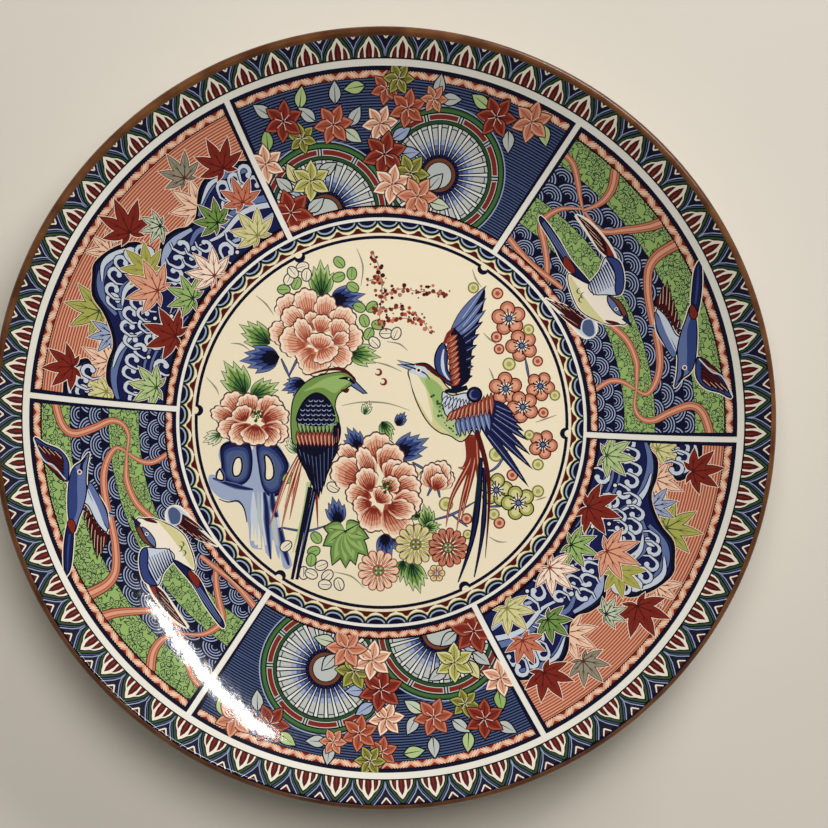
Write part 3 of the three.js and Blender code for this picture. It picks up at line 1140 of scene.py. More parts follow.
PEONY_LEFT = (
    (-35, 39, -37.5, 50.6, 6), (-28.5, 40, -31, 52.6, 5.4), (-23, 39, -22, 50.4, 4.4),
    (-19, 35, -13, 45, 5.4), (-19, 31, -8.2, 35.5, 5.4), (-34, 34, -44.6, 36.4, 4.8),
    (-31, 37, -38.6, 44.4, 4.6), (-27, 36, -28.6, 43.6, 3), (-25, 35, -22.6, 42.2, 4),
    (-19, 33, -15.6, 40.6, 4.2), (-27, 29, -33, 23.6, 4.2), (-27, 28, -26.4, 18.4, 6),
    (-21, 29, -12.6, 23.6, 4.6), (-24, 30, -20.6, 24.4, 5.4), (-29, 31, -40.4, 33, 6.2),
    (-28.6, 30.5, -33.4, 40.8, 3.3), (-20, 31, -13.4, 34.6, 2.8), (-25, 28.4, -24, 35, 5.2))
PEONY_ROCK = (
    (-55, 2, -61.6, 10.6, 5.2), (-52.4, 2, -53.4, 10.8, 4.6), (-47, 1, -42, 9.6, 5.2),
    (-48, 0, -37.4, 3.4, 4.6), (-57, 0, -67.4, 4.2, 3.4), (-54, 0, -57, 5.6, 4.2),
    (-48, -2, -37.6, -5.6, 4.4), (-54, -2, -65, -3.4, 4.2), (-52, -1, -59.6, -7.8, 4.4),
    (-47, -2, -42.4, -9, 4.4), (-50, -1, -51, -9.2, 5.4))
PEONY_LOW = (
    (-9, -18, -16.4, -9.6, 3.6), (-1, -17, -2.6, -4.6, 6.2), (0, -20, 5.8, -9.6, 5.6),
    (-7, -24, -19.4, -17.2, 6.4), (-3, -24, -8.6, -10.4, 3.6), (2, -24, 6.8, -15.6, 4.8),
    (4, -26, 12.4, -17.8, 5.2), (4, -28, 15, -24.4, 4.8), (-4, -30, -14, -27.8, 4.6),
    (-4, -28, -7.6, -18.6, 4.4), (1, -28, 5.6, -22.4, 3.6), (3, -33, 15.4, -31.4, 5.2),
    (-4, -32, -11, -34.6, 4), (-3, -33, -4.6, -43.4, 5.6), (1, -33, 9.6, -45, 6.4),
    (1, -33, 13, -36, 4), (-2, -32, 2, -27.2, 4.4))
BUD = (
    (20.4, -26.6, 17, -18.8, 3.2), (21, -26.8, 27.8, -20.4, 3.4), (20.8, -26.4, 24.8, -15.8, 4.2),
    (20.4, -27, 19.8, -16.6, 4.2), (20.8, -27.4, 24.2, -20.8, 3.4))


def peony(pen, petals, tints):
    for x0, y0, x1, y1, width in petals:
        peony_petal(pen, complex(x0, y0), complex(x1, y1), width, tints)


def cut_leaf(pen, base, angle, length, tints):
    """A leaf of pointed lobes, dark at its base and paling to its tips."""
    own = pen.moved(base, angle)
    edge, pale, middle, deep = tints
    spread = 29
    lobes = [(own.moved(angle=side), length * part) for side, part in
             ((-spread, 0.72), (spread, 0.72), (-0.45 * spread, 0.88), (0.45 * spread, 0.84), (0, 1))]
    for lobe, reach in lobes:
        lobe.fill(edge, [z - 0.24 for z in blade(reach + 0.7, length * 0.3 + 0.7, 3)])
    for colour, part, wide in ((pale, 1, 0.3), (middle, 0.8, 0.27), (deep, 0.55, 0.2)):
        for lobe, reach in lobes:
            lobe.fill(colour, blade(reach * part, length * wide, 3))
    for lobe, reach in lobes:
        lobe.line(edge, [0j, reach * 0.86], (0.7, 0.4, 0.1))


GREEN = ("pine", "sage", "leaf", "fern")
CELADON = ("forest", "ivory", "celadon", "sage")
NAVY = ("ink", "steel", "blue", "navy")
GREEN_LEAVES = (
    (-24, 50, 92, 14.4, GREEN), (-44.6, 31, 148, 14, GREEN), (-54, 11, 124, 15.5, GREEN),
    (-52, 9.6, 28, 12.5, GREEN), (-13, 27.4, -8, 12.5, GREEN), (-63.5, -5, 205, 8, CELADON),
    (18.5, -42, 102, 9.5, GREEN), (17, -42.4, 15, 6.5, GREEN), (15, -37.6, 165, 5, GREEN),
    (8.4, -55, -98, 8.5, GREEN), (11.4, -56, -72, 12.5, GREEN), (-7, 3, 70, 5.5, CELADON),
    (0, 0, -60, 8, GREEN), (-33.6, -12.4, 120, 7.5, CELADON), (-9, -38.6, -30, 5, CELADON))
NAVY_LEAVES = (
    (-20.4, 48, 12, 14), (-40.8, 25.6, 186, 15.6), (-30.6, 15.6, 200, 9.6), (-17, -40.6, 104, 11),
    (5, -13, 26, 15), (1, -44.4, -84, 10.5), (4, -46, -20, 6), (-8.6, -11.4, 120, 10.5),
    (6, -1.4, 60, 6))
ROUND_LEAVES = (
    (-39, 52.5), (-34, 55), (-17, 63.5), (-17.2, 57.6), (-12, 59), (-9, 45.6), (-4, 45.8), (-7, 40.2),
    (-1.6, 38.6), (-5.2, 35), (-26, -46), (-27, -51.4), (-28, -54.8), (-11.6, 53.6), (-37.2, -22.4))
BLUE_SPRAY = (
    (1.6, 35.2), (5.6, 35.2), (-3, 31.6), (-24, -57), (-31, -60), (-28, -60.4), (-21.6, -61),
    (-17, -64.4), (-22.6, -64.6), (-37, 56.6), (-35.4, 59.4), (-31.6, 61.6), (-30, 58.4), (-19.4, -26),
    (-38, -49.4))
GRASS_LINES = (
    ((-50, 50), (-46, 46.6), (-43, 42.4)), ((-10, 69), (-7.6, 62), (-8.4, 54)), ((-19, -59.6),
    (-12, -61.4), (-7, -66)), ((61, 0), (65, 1.4), (69.6, 3)), ((42.6, -45.6), (46, -47.4),
    (49.6, -47.6)), ((-69.6, 17.4), (-66, 13.4), (-64.6, 10.4)), ((-60, 31), (-56, 30.6), (-52, 28)),
    ((36, 61), (37.4, 57), (39.6, 54)), ((42.6, 21.6), (44, 18.4), (45, 15)), ((40.4, 35.6), (43, 33),
    (46, 31)), ((-16, 6.4), (-8, 7.8), (2, 7.4), (11, 4.6)), ((61, -31), (65.4, -29.6)), ((2, 32),
    (7, 31), (10.2, 28.4)), ((-4, 24), (2, 22.6), (8, 20)))


def blossom(pen, centre, radius, petal_colour, inner, edge, angle):
    for k in range(5):
        place = centre + radius * 0.6 * turn(angle + 72 * k)
        pen.dot(edge, place, radius * 0.43 + 0.3, steps=16)
        pen.dot(petal_colour, place, radius * 0.43 - 0.2, steps=16)
        pen.dot(inner, centre + radius * 0.56 * turn(angle + 72 * k), radius * 0.27, steps=10)
    pen.dot("paper", centre, radius * 0.36, steps=14)
    for k in range(12):
        end = centre + radius * (0.54 if k % 2 else 0.42) * turn(30 * k + 7)
        pen.line("navy", [centre, end], (0.7, 0.4, 0.35))
        pen.dot("ink", end, 0.36, steps=6)
    pen.dot("steel", centre, radius * 0.13, steps=8)


PLUMS = (
    (50.5, 41.4, 6.6), (55.6, 30.6, 6.2), (49.2, 13.4, 6.4), (63, 14.4, 5.6), (56, 6.2, 6.2),
    (64, -8.8, 5.6), (45.4, -27, 6.4), (54.2, -32, 6.6))
BUDS = (
    (46, 51.4, 2.1, 1), (45.6, 34, 2, 1), (46.6, 29.2, 1.9, 1), (62, 24.4, 1.9, 1),
    (64.2, 3.9, 1.9, 1), (33.6, -38.4, 2, 1), (51.8, -21, 2.1, 1), (46.6, -40, 2.1, 1),
    (36.4, 53.6, 2, 0), (58.4, 37, 2, 0), (50.6, 23.2, 2.4, 0), (68.8, 10.8, 1.9, 0),
    (62, -16.8, 2.1, 0), (62, -27.4, 2.2, 0), (58.6, -5, 1.8, 0), (44.4, -36.6, 2.1, 0),
    (34, -44.6, 1.7, 0), (25.4, -32.6, 2.6, 0), (45.4, -12.8, 2.7, 0))


def daisy(pen, centre, radius, colour, tip, edge, count):
    width = radius * 2.5 / count
    for k in range(count):
        own = pen.moved(centre, 360 * k / count)
        outline = [radius * 0.2 + 0j] + arc(complex(radius - width), width, -80, 80, 6)
        own.shape(colour, outline, edge, 0.4)
        own.line(tip, [radius * 0.2, radius * 0.8], (1, 0.6, 0.2))
    pen.dot("olive", centre, radius * 0.27, edge)
    for k in range(8):
        pen.dot("pale_blue" if k % 2 else "forest", centre + radius * 0.15 * turn(45 * k), 0.4, steps=6)


ROCK_LOBES = (
    (-57.2 - 19.4j, ((-63.8, -9.8), (-59, -7.6), (-53, -8.4), (-51.2, -15), (-52.4, -22.6),
                     (-57, -25.6), (-62.6, -23), (-63.8, -16))),
    (-45.2 - 20.6j, ((-49.8, -8.6), (-46, -6.8), (-41, -10), (-37, -16.6), (-38.2, -22),
                     (-39.6, -28), (-44, -30), (-47.4, -26), (-49, -18))))
ROCK_TRAILS = (
    ((0.6, 2.2, 0.6), (-67, -22.6), (-61, -24.8), (-55, -26.4), (-51, -27)),
    ((1.2, 2.6, 0.6), (-46.6, -28), (-45.8, -34), (-45.2, -44), (-44, -54.6)),
    ((1.6, 2.8, 1.4), (-43.6, -28.6), (-43, -34), (-41.6, -38)),
    ((1.8, 2.6, 0.8), (-40.4, -42), (-38.8, -50), (-36.8, -57)))
ROCK_HOLES = (
    ((-58, -14.8), (-56, -14.6), (-55.4, -18), (-56.4, -21.2), (-58.6, -21.6), (-59.2, -18.4)),
    ((-46.4, -13.4), (-44.4, -14.6), (-43, -18), (-43, -21.6), (-44.4, -23.2), (-46.2, -22.6),
     (-46.2, -18)),
    ((-64.4, -19), (-62.8, -21.4), (-63, -23.4), (-65.6, -22.6)))
ROCK_GLEAMS = ((-51, "pale_blue", 3), (-49, "fog", 1.6), (-47.6, "pale_blue", 1.2),
               (-43.4, "fog", 2.2), (-41.6, "pale_blue", 1))
ROCK_FADES = ((-51.6, -39), (-50.2, -42), (-48.8, -40), (-47.2, -45), (-42.4, -49), (-40.4, -52))
FADE_RADIUS = 70               # the fading streaks of the rock end at this radius


def rock(pen):
    """A pierced garden rock, darkest along its upper edges."""
    mass = (
        (-68.4, -21.4), (-64.6, -21.2), (-63.6, -17.6), (-64.8, -13.6), (-63.6, -9.6), (-60, -7.4),
        (-55, -8.4), (-52.6, -8), (-51.4, -11.4), (-50.2, -8), (-47, -6.4), (-43, -8), (-40, -10.6),
        (-38.6, -14), (-36.4, -17.4), (-38, -20.6), (-38, -25), (-39.6, -28.6), (-42.6, -30),
        (-42.4, -34.6), (-41, -37.4), (-41, -42), (-39.4, -46), (-37, -52), (-35.6, -57),
        (-38.4, -58.4), (-41.4, -53), (-43.2, -46.6), (-44, -54), (-47, -51), (-51.8, -49.6),
        (-52.8, -42), (-54, -36.4), (-56.4, -32.6), (-60, -31.6), (-64, -30.4), (-68, -26.4))
    pen.blob("mist", mass, steps=4)
    for x, colour, width in ROCK_GLEAMS:
        pen.stroke(colour, ((x, -28), (x + 0.4, -38), (x + 1.6, -49)), (0.4, width, 0.6 * width))
    for centre, pairs in ROCK_LOBES:
        outline = smooth(pen.points(pairs), True, 4)
        for part, colour in ((1, "navy"), (0.9, "indigo"), (0.78, "blue"), (0.66, "denim")):
            pen.fill(colour, [centre + part * (z - centre) for z in outline])
    for colour, part in (("steel", 1.1), ("denim", 0.85), ("indigo", 0.6)):
        for widths, *trail in ROCK_TRAILS:
            pen.stroke(colour, trail, scaled(widths, part))
    for pairs in ROCK_HOLES:
        hole = pen.points(pairs)
        centre = (hole[0] + hole[3]) / 2
        hole = smooth(hole, True, 4)
        pen.fill("steel", [z + 0.7 * (z - centre) / abs(z - centre) for z in hole])
        pen.shape("cream", hole, "ink", 0.7)
    pen.stroke(
        "ink", ((-64.6, -30.8), (-61, -32), (-57, -31.6), (-54.6, -34.6), (-53.4, -40)),
        (0.3, 0.7, 0.4))
    for x, foot in ROCK_FADES:
        end = (x + 0.4, -math.sqrt(FADE_RADIUS ** 2 - x * x))
        pen.line("cream", pen.points(((x, foot), end)), (0.1, 0.9, 1.4))


def perched_bird(pen):
    """The left-hand bird, seen from behind with its tail hanging down."""
    plumes = ((-44.6, -42), (-42, -36), (-40, -43.4), (-38.6, -34), (-36.6, -39), (-36, -30))
    for k, end in enumerate(pen.points(plumes)):
        start = complex(-32.4 + 0.3 * k, -12)
        bow = (start + end) / 2 + complex(-0.6 + 0.2 * k, 1.6)
        spine = smooth([start, bow, end])
        pen.line("brick", spine, (0.8, 1.5, 0.2))
        pen.line("blush" if k % 2 else "coral", spine, (0.3, 0.7, 0.1))
    pen.line("brick", pen.points(((-26, -28), (-25.4, -42))), (1.2, 0.9, 0.3))
    pen.stroke("sage", ((-29, -24), (-31, -36), (-35.4, -52)), (1.6, 1.4, 0.3))
    pen.stroke("forest", ((-28, -24), (-30, -36), (-34.4, -52)), (0.6, 0.6, 0.2))
    for shift in (0, 1.9):
        pen.stroke(
            "navy", ((-28.4 + shift, -26), (-31.4 + shift, -42), (-35.6 + shift, -62.6)),
            (1.8, 1.9, 1.2))
    pen.stroke("steel", ((-26.8, -28), (-29.8, -42), (-33.6, -58)), (0.3, 0.4, 0.1))
    body = (
        (-10.6, 16), (-12, 18.4), (-16, 19.8), (-21, 19.2), (-27, 17.6), (-31.4, 14.6), (-34.8, 10),
        (-36, 4), (-36, -4), (-34.4, -9.4), (-26, -8), (-18.4, -7), (-17, 0), (-18.6, 6), (-17.4, 10.6),
        (-14.4, 13))
    pen.blob("leaf", body, "ink", 0.5, steps=4)
    pen.blob(
        "grass", ((-12.6, 16.4), (-16, 18.4), (-22, 17.4), (-27, 14.6), (-31, 12), (-24, 13.6),
        (-19, 11.4), (-16, 13.4)), steps=4)
    quills(
        pen, 9, ((-33.4, -7), (-18.4, -6)), ((-30, -20), (-28.4, -24), (-27, -27), (-26, -29.4),
        (-25, -31), (-24, -29), (-23, -26), (-21.6, -21), (-20, -16)), ("navy", "ink", "steel"), 3.4)
    quills(
        pen, 10, ((-33.6, -3.6), (-19, -3.6)), ((-32.4, -9.8), (-19.6, -10.2)),
        ("rust", "maroon", "shell"), 2.2)
    quills(pen, 3, ((-18, 0), (-17, 0)), ((-19, -10), (-17.4, -9)), ("navy", "ink", "coral"), 1.8)
    quills(
        pen, 9, ((-33, 1.6), (-19.6, 1.6)), ((-32, -5), (-20.4, -5)), ("leaf", "ink", "celadon"), 2.2)
    pen.blob(
        "navy", ((-26, 11.4), (-30.6, 8.6), (-33.6, 2.6), (-33, -0.4), (-26, -1.6), (-19.8, -0.4),
        (-18.8, 3), (-21.4, 8.8)), "ink", 0.6, steps=5)
    for row, scales in enumerate((2, 4, 5, 6, 6, 6)):
        for k in range(scales + 1):
            x = -26.2 + (k + 0.5 * (row % 2) - scales / 2) * 2.1
            pen.line("mist", arc(complex(x, 8.8 - 1.85 * row), 0.85, 190, 350, 5), (0.15, 0.4, 0.15))
    pen.stroke(
        "maroon", ((-28.6, 18.8), (-22, 20.6), (-16, 20.8), (-12.2, 18.4), (-10.8, 16.2)),
        (0.5, 1.5, 0.7))
    pen.shape(
        "steel", pen.points(((-11.2, 16.8), (-5.8, 11.2), (-7.4, 11.2), (-12.4, 14.4))), "ink", 0.5)
    pen.stroke("ink", ((-17, 17.2), (-13.6, 17.2), (-10.8, 15.2)), (0.4, 1.4, 1))
    pen.dot("pale_blue", -13.2 + 17j, 0.55, "ink", 0.4)
    pen.blob("maroon", ((-16.4, 12.6), (-13, 13.2), (-14, 11.4)), steps=4)


def flying_bird(pen):
    """The right-hand bird, wings raised and tail streaming down."""
    plumes = ((33.6, 30.2, -18), (34.4, 29.4, -27), (35, 25.4, -41.6), (36, 29.6, -43),
              (36.6, 31.6, -38), (37.6, 36.4, -36))
    for k, (x0, x1, y1) in enumerate(plumes):
        bow = ((x0, -5), (x0 + 0.8 - 0.1 * k, -14), (x1 + 2.4, (y1 - 14) / 2 - 2), (x1, y1))
        pen.stroke("brick", bow, (2, 2.2, 0.3))
        pen.stroke("peach", bow, (0.2, 0.4, 0.1))
    for colour, part in (("ink", 1), ("indigo", 0.35)):
        pen.stroke(colour, ((39.4, -14), (38.4, -30), (35.4, -48), (30.2, -63.6)),
                   scaled((1.4, 2.7, 0.5), part))
        pen.stroke(colour, ((40.6, -18), (40.8, -32), (39.6, -46), (36.6, -61.6)),
                   scaled((1.2, 2.2, 0.5), part))
    pen.stroke("maroon", ((37.4, -3), (41.2, -16), (42.6, -30), (41, -54)), (2.2, 1.8, 0.2))
    pen.stroke("pine", ((38.4, -16), (37.6, -28), (35.6, -40)), (0.4, 1, 0.2))
    quills(
        pen, 7, ((36, 4), (43, 8.6)), ((58.4, -25.8), (60, -18.8), (59, -13), (58, -7.2), (56.4, -3.6),
        (55, -0.6), (52.4, 3.4)), ("indigo", "ink", "mist"), 3.6)
    body = (
        (10.4, 20.2), (11.4, 16), (13, 10), (16, 3.4), (19, -1), (23, -4.2), (27, -5.4), (31.4, -7.8),
        (35, -4.6), (37, 0), (36, 6), (30, 11), (26, 14), (22.4, 18.4), (17, 21.6), (13.4, 22.6))
    pen.blob("straw", body, "ink", 0.5, steps=5)
    pen.blob(
        "ivory", ((11, 19.6), (12.6, 12), (17, 4), (20, 0), (18.6, 8), (17, 14), (13.6, 19)), steps=4)
    pen.blob(
        "sage", ((15, 17.6), (20, 17.4), (25, 12), (29, 4), (33, -3), (30, -6.6), (25, -3), (20.6, 2),
        (19.6, 10)), steps=4)
    pen.blob("grass", ((17, 16.6), (21.6, 16), (25, 11), (24, 4), (21.4, 6)), steps=4)
    speckle = random.Random(33)
    speckles = 26
    for k in range(speckles):
        t = k / (speckles - 1)
        place = complex(20 + 11 * t + speckle.uniform(-2, 2.4),
                        10 - 15 * t + speckle.uniform(-2.4, 2.4))
        pen.dot("forest", place, speckle.uniform(0.3, 0.6), steps=7)
    pen.blob(
        "pale_blue", ((24, 11.8), (28, 10.6), (34, 11.6), (37, 8), (35, 3), (29, 1.4), (25, 3.4)),
        "ink", 0.5, steps=4)
    quills(pen, 9, ((26, 10.6), (36, 8.6)), ((23.4, 6.4), (35.6, 1.4)), ("pale_blue", "ink", None), 1.5)
    quills(pen, 7, ((30, 2), (41, 6)), ((31, -6), (43, -4)), ("steel", "ink", "pale_blue"), 2.6)
    quills(pen, 11, ((29, 5), (43.4, 12)), ((25.6, 0.2), (43.6, 2.4)), COVERTS, 2.2)
    pen.blob(
        "navy", ((28, 15), (26.6, 28), (27.6, 36), (31, 42), (37, 49), (41, 53), (40.4, 46), (38.6, 40),
        (36.6, 33), (35.6, 26), (34.6, 18)), steps=4)
    quills(
        pen, 6, ((28, 17), (28, 20), (28, 23), (28, 26), (28, 29), (28, 31)), ((36, 18.4), (36.4, 22.4),
        (37, 26.4), (37.8, 30.8), (38.8, 35.2), (40.2, 40.2)), ("indigo", "ink", "mist"), 3.4)
    quills(
        pen, 3, ((28, 33), (27.6, 34), (27, 36)), ((41.4, 44.8), (41.6, 49.6), (41.6, 54.6)),
        ("steel", "ink", "pale_blue"), 3.8)
    pen.blob(
        "navy", ((27, 15), (31, 14), (35, 17.6), (33.6, 24), (33.4, 31), (30.4, 36), (27.4, 36)),
        steps=4)
    for k in range(7):
        pen.line("ink", pen.points(((30, 17 + 2.9 * k), (36, 18.6 + 2.4 * k))), (0.5, 0.4, 0.2))
    pen.blob(
        "blue", ((27, 14.6), (23, 18), (21, 23), (21.6, 28), (24.4, 31.6), (26, 27), (26, 21),
        (28.6, 16)), "ink", 0.6, steps=4)
    pen.stroke("pale_blue", ((27, 16.4), (24.6, 20), (24, 25), (24.6, 29)), (0.5, 1.4, 0.5))
    quills(pen, 9, ((25.2, 31.4), (27.6, 14.4)), ((30.2, 35), (31.4, 17.6)), COVERTS, 2.7)
    pen.stroke("brick", ((24.4, 31), (26.4, 35), (28.4, 37.4)), (0.6, 1.6, 0.6))
    pen.dot("indigo", 36.8 + 11j, 2.8, "ink", 0.8, 20)
    pen.line("steel", arc(36.8 + 11j, 1.8, 100, 300, 8), (0.2, 0.8, 0.2))
    pen.stroke("navy", ((25, 12.4), (29, 12.6), (34, 13.8)), (1, 2.4, 1.8))
    pen.blob(
        "pale_blue", ((10.6, 20.4), (13, 22.8), (16.4, 22.4), (18.6, 19.6), (17, 17.8), (13.6, 18.6)),
        steps=4)
    pen.stroke("maroon", ((13.4, 22.8), (17.6, 22.4), (22.4, 18.6), (28.4, 15.2)), (0.6, 2, 0.5))
    pen.stroke("ink", ((13, 23.2), (18, 23.2), (23.4, 18.6), (28, 15.8)), (0.3, 0.5, 0.3))
    for tip in (6 + 24.6j, 6 + 22.8j):
        pen.shape("mist", [tip, 13.2 + 22.8j, 11.2 + 20.6j], "ink", 0.5)
    pen.stroke("ink", ((8, 22.8), (12, 21.6), (17, 19.4), (19, 17)), (0.3, 0.7, 0.3))
    pen.dot("navy", 14.6 + 20.6j, 0.9, "paper", 0.5)


STEMS = (
    ((-40, -42), (-30, -43.4), (-21.6, -41)), ((20, -39), (28, -36.6), (37, -31.6)),
    ((42, -20), (46, -17.4), (50, -11)), ((-37, 18), (-34, 24), (-32, 28)),
    ((-40, 25), (-36.4, 17)), ((42.6, -33.6), (50, -33)), ((58.6, 17), (57, 26)),
    ((28, -37), (34, -41.6)), ((12, -16), (19, -20)), ((14, -25), (20, -21.4)),
    ((18, -29.4), (20.6, -24)), ((23, -30), (21.6, -24)), ((-8, -40), (-2, -36)))
BERRY_STEMS = (
    ((-4, 68), (-1, 61), (0, 52), (-1, 43), (0, 38)), ((-1, 49), (4, 52), (9, 53), (15, 51.6)),
    ((15, 52), (21, 51.6), (26, 50)), ((-2, 45.4), (4, 45), (9, 46)),
    ((0, 39.6), (6, 41), (12, 41.4)), ((12, 43.6), (16, 40.4), (19, 36)), ((-6, 56), (0, 57.6)))
BIG_LEAF = -14.4 - 43.4j
BIG_LEAF_TIPS = ((-22.8, -42), (-23, -49), (-19.6, -56.6), (-14.4, -57.6), (-10.6, -56.4),
                 (-5.6, -53), (-5.6, -46), (-9, -40.4))
DAISIES = ((13.4 - 48.6j, 8.2, "straw", "moss", "umber", 13),
           (-1.4 - 59j, 8.2, "blush", "coral", "brick", 13),
           (26.2 - 49.8j, 7.8, "coral", "brick", "maroon", 13),
           (21.6 - 60j, 3.4, "straw", "coral", "umber", 6))


def big_leaf(pen):
    """A broad green leaf of eight lobes."""
    lobes = [(pen.moved(BIG_LEAF, math.degrees(cmath.phase(tip - BIG_LEAF))), abs(tip - BIG_LEAF))
             for tip in pen.points(BIG_LEAF_TIPS)]
    for lobe, reach in lobes:
        lobe.fill("pine", blade(reach + 0.8, 7.4))
        lobe.line("pine", [2, 8], (0.2, 2, 0.2))
        lobe.line("pine", [0j, 8.5], (0.7, 0.4, 0.1))
    for lobe, reach in lobes:
        lobe.fill("leaf", blade(reach, 6.6))
        lobe.fill("grass", blade(0.86 * reach, 4))
        lobe.line("sage", [2, 8], (0.2, 2, 0.2))
        lobe.line("pine", [0j, 8.5], (0.7, 0.4, 0.1))


def berries(pen):
    """Sprays of tiny red berries."""
    scatter = random.Random(44)
    for stem in BERRY_STEMS:
        spine = smooth(pen.points(stem))
        pen.line("smoke", spine, (0.4, 0.5, 0.2))
        for z in spine[1:]:
            for reach in (1.2, 2.6):
                place = z + complex(scatter.uniform(-reach, reach), scatter.uniform(-reach, reach))
                size = scatter.uniform(0.3, 0.95)
                colour = scatter.choice(("brick", "rust", "maroon", "brick", "coral"))
                pen.dot(colour, place, size, steps=8)


def draw_medallion():
    drawing = Drawing(longest=6.0)
    pen = Pen(drawing)
    whole = ring_points(0j, 73.6, 144)
    pen.line("navy", whole, 1.25, closed=True)
    for k in range(PANEL_COUNT):
        spoke = turn(PANEL_START + PANEL_SPREAD * k)
        pen.dot("navy", 73.2 * spoke, 2.3)
        pen.dot("cream", 74.3 * spoke, 1.5)
    for points in GRASS_LINES:
        pen.stroke("smoke", points, (0.2, 0.7, 0.15))
    for stem in STEMS:
        pen.stroke("indigo", stem, (0.7, 1.2, 0.5))
        pen.stroke("steel", stem, (0.1, 0.4, 0.1))
    for x, y, angle, length, colour in GREEN_LEAVES:
        cut_leaf(pen, complex(x, y), angle, length, colour)
    for x, y, angle, length in NAVY_LEAVES:
        cut_leaf(pen, complex(x, y), angle, length, NAVY)
    big_leaf(pen)
    rock(pen)
    for places, edge, colour, vein in ((ROUND_LEAVES, "forest", "grass", "leaf"),
                                       (BLUE_SPRAY, "indigo", "cream", "steel")):
        for k, place in enumerate(pen.points(places)):
            own = pen.moved(place, 67 * k)
            own.shape(colour, ring_points(0j, 2.6, 14, 0.76), edge, 0.45)
            own.line(edge, [-2.2, 1.6], (0.3, 0.4, 0.2))
            own.line(vein, [-1.6 + 0.9j, 1.2 + 0.9j], (0.1, 0.5, 0.1))
    peony(pen, PEONY_LEFT, SALMON)
    for petals in (PEONY_ROCK, PEONY_LOW, BUD):
        peony(pen, petals, RUSSET)
    for centre in (-49.6 + 2.6j, 1.6 - 25.6j):
        for k in range(9):
            place = centre + (0.6 + 0.25 * k) * turn(140 * k)
            pen.dot("forest" if k % 2 else "moss", place, 0.6, "ink", 0.25, 8)
    berries(pen)
    for x, y, radius in PLUMS:
        tints = ("moss", "straw", "pine") if y < -20 else ("coral", "peach", "maroon")
        blossom(pen, complex(x, y), radius, *tints, 90 + 3 * x)
    for x, y, radius, red in BUDS:
        colour, edge, heart = ("peach", "brick", "rust") if red else ("straw", "olive", "moss")
        pen.dot(colour, complex(x, y), radius, edge, 0.6, 16)
        pen.dot(heart, complex(x, y), radius * 0.45, steps=8)
    for place, radius, *tints, count in DAISIES:
        daisy(pen, place, radius, *tints, count)
    for place in (-1.6 + 19.8j, 0.4 + 16j):
        pen.line("brick", arc(place, 1.2, 200, 480, 9), (0.3, 1.2, 0.3))
    perched_bird(pen)
    flying_bird(pen)
    return drawing


# --- Porcelain --------------------------------------------------------------------------------
FOOT_OUTER, FOOT_INNER, FOOT_TAPER = 92.0, 87.0, 1.2
FOOT_EDGE = 0.9                # rounding of the edge the plate stands on
FOOT_GLAZE = 1.8               # the foot is glazed down to this height
UNDERSIDE = WELL_HEIGHT - WELL_THICKNESS
SOCKET = 0.4                   # the body reaches this far down round the foot
LIP_TRAVEL = math.pi * LIP_RADIUS
TURN_STEPS = 288
BAND_STEPS = 720
MERGE_METRES = 1e-7


def below(radius, depth):
    """A profile point under the plate's surface, measured square to it."""
    slope = surface_slope(radius)
    return (radius + depth * math.sin(slope), surface_height(radius) - depth * math.cos(slope))


def round_lip(travel, depth):
    """A profile point at a distance past the wall's end, going over the lip."""
    slope = wall_slope(WALL_END)
    if travel < 0:
        x, z = below(WALL_END, depth)
        return (x + travel * math.cos(slope), z + travel * math.sin(slope))
    angle = math.pi / 2 + slope - travel / LIP_RADIUS
    radius = LIP_RADIUS - depth
    return (LIP_X + radius * math.cos(angle), LIP_Z + radius * math.sin(angle))


def revolve(name, profile, materials, segments=TURN_STEPS):
    """A closed profile turned round the plate's axis. A profile may vary with the angle."""
    verts, faces = [], []
    rings = [profile(360 * k / segments) for k in range(segments)]
    count = len(rings[0])
    for k, ring in enumerate(rings):
        for radius, height in ring:
            point = radius * turn(360 * k / segments)
            verts.append((point.real * MM, point.imag * MM, height * MM))
    for k in range(segments):
        here, there = k * count, (k + 1) % segments * count
        for i in range(count):
            n = (i + 1) % count
            faces.append([here + i, there + i, there + n, here + n])
    mesh = bpy.data.meshes.new(name)
    mesh.from_pydata(verts, [], faces)
    work = bmesh.new()
    work.from_mesh(mesh)
    bmesh.ops.remove_doubles(work, verts=work.verts, dist=MERGE_METRES)
    bmesh.ops.dissolve_degenerate(work, edges=work.edges, dist=MERGE_METRES / 10)
    bmesh.ops.recalc_face_normals(work, faces=work.faces)
    work.to_mesh(mesh)
    work.free()
    mesh.shade_smooth()
    for material in materials:
        mesh.materials.append(material)
    return mesh


def course(start, end, steps):
    """Evenly spaced values from a start up to, but not including, an end."""
    return [start + (end - start) * i / steps for i in range(steps)]


def body_profile(angle):
    """Out along the underside, up round the foot, over the lip and back to the axis."""
    foot_inner, foot_outer, wall = FOOT_INNER - FOOT_TAPER, FOOT_OUTER + FOOT_TAPER, FOOT_OUTER + 7
    under = [(radius, UNDERSIDE) for radius in course(0, foot_inner, 8) + [foot_inner]]
    socket = [(foot_inner, UNDERSIDE - SOCKET), (foot_outer, UNDERSIDE - SOCKET),
              (foot_outer + 0.8, UNDERSIDE + 0.6), (foot_outer + 2.2, UNDERSIDE + 2.0)]
    outside = [below(radius, 2 * LIP_RADIUS) for radius in course(wall, WALL_END, 24)]
    lip = [round_lip(travel, ENAMEL_LIFT) for travel in course(LIP_TRAVEL, 0, 10) + [0]]
    inside = [below(radius, ENAMEL_LIFT) for radius in course(WALL_END, WELL_RADIUS, 30)[1:]]
    well = [(radius, WELL_HEIGHT - ENAMEL_LIFT) for radius in course(WELL_RADIUS, 0, 8) + [0]]
    return under + socket + outside + lip + inside + well


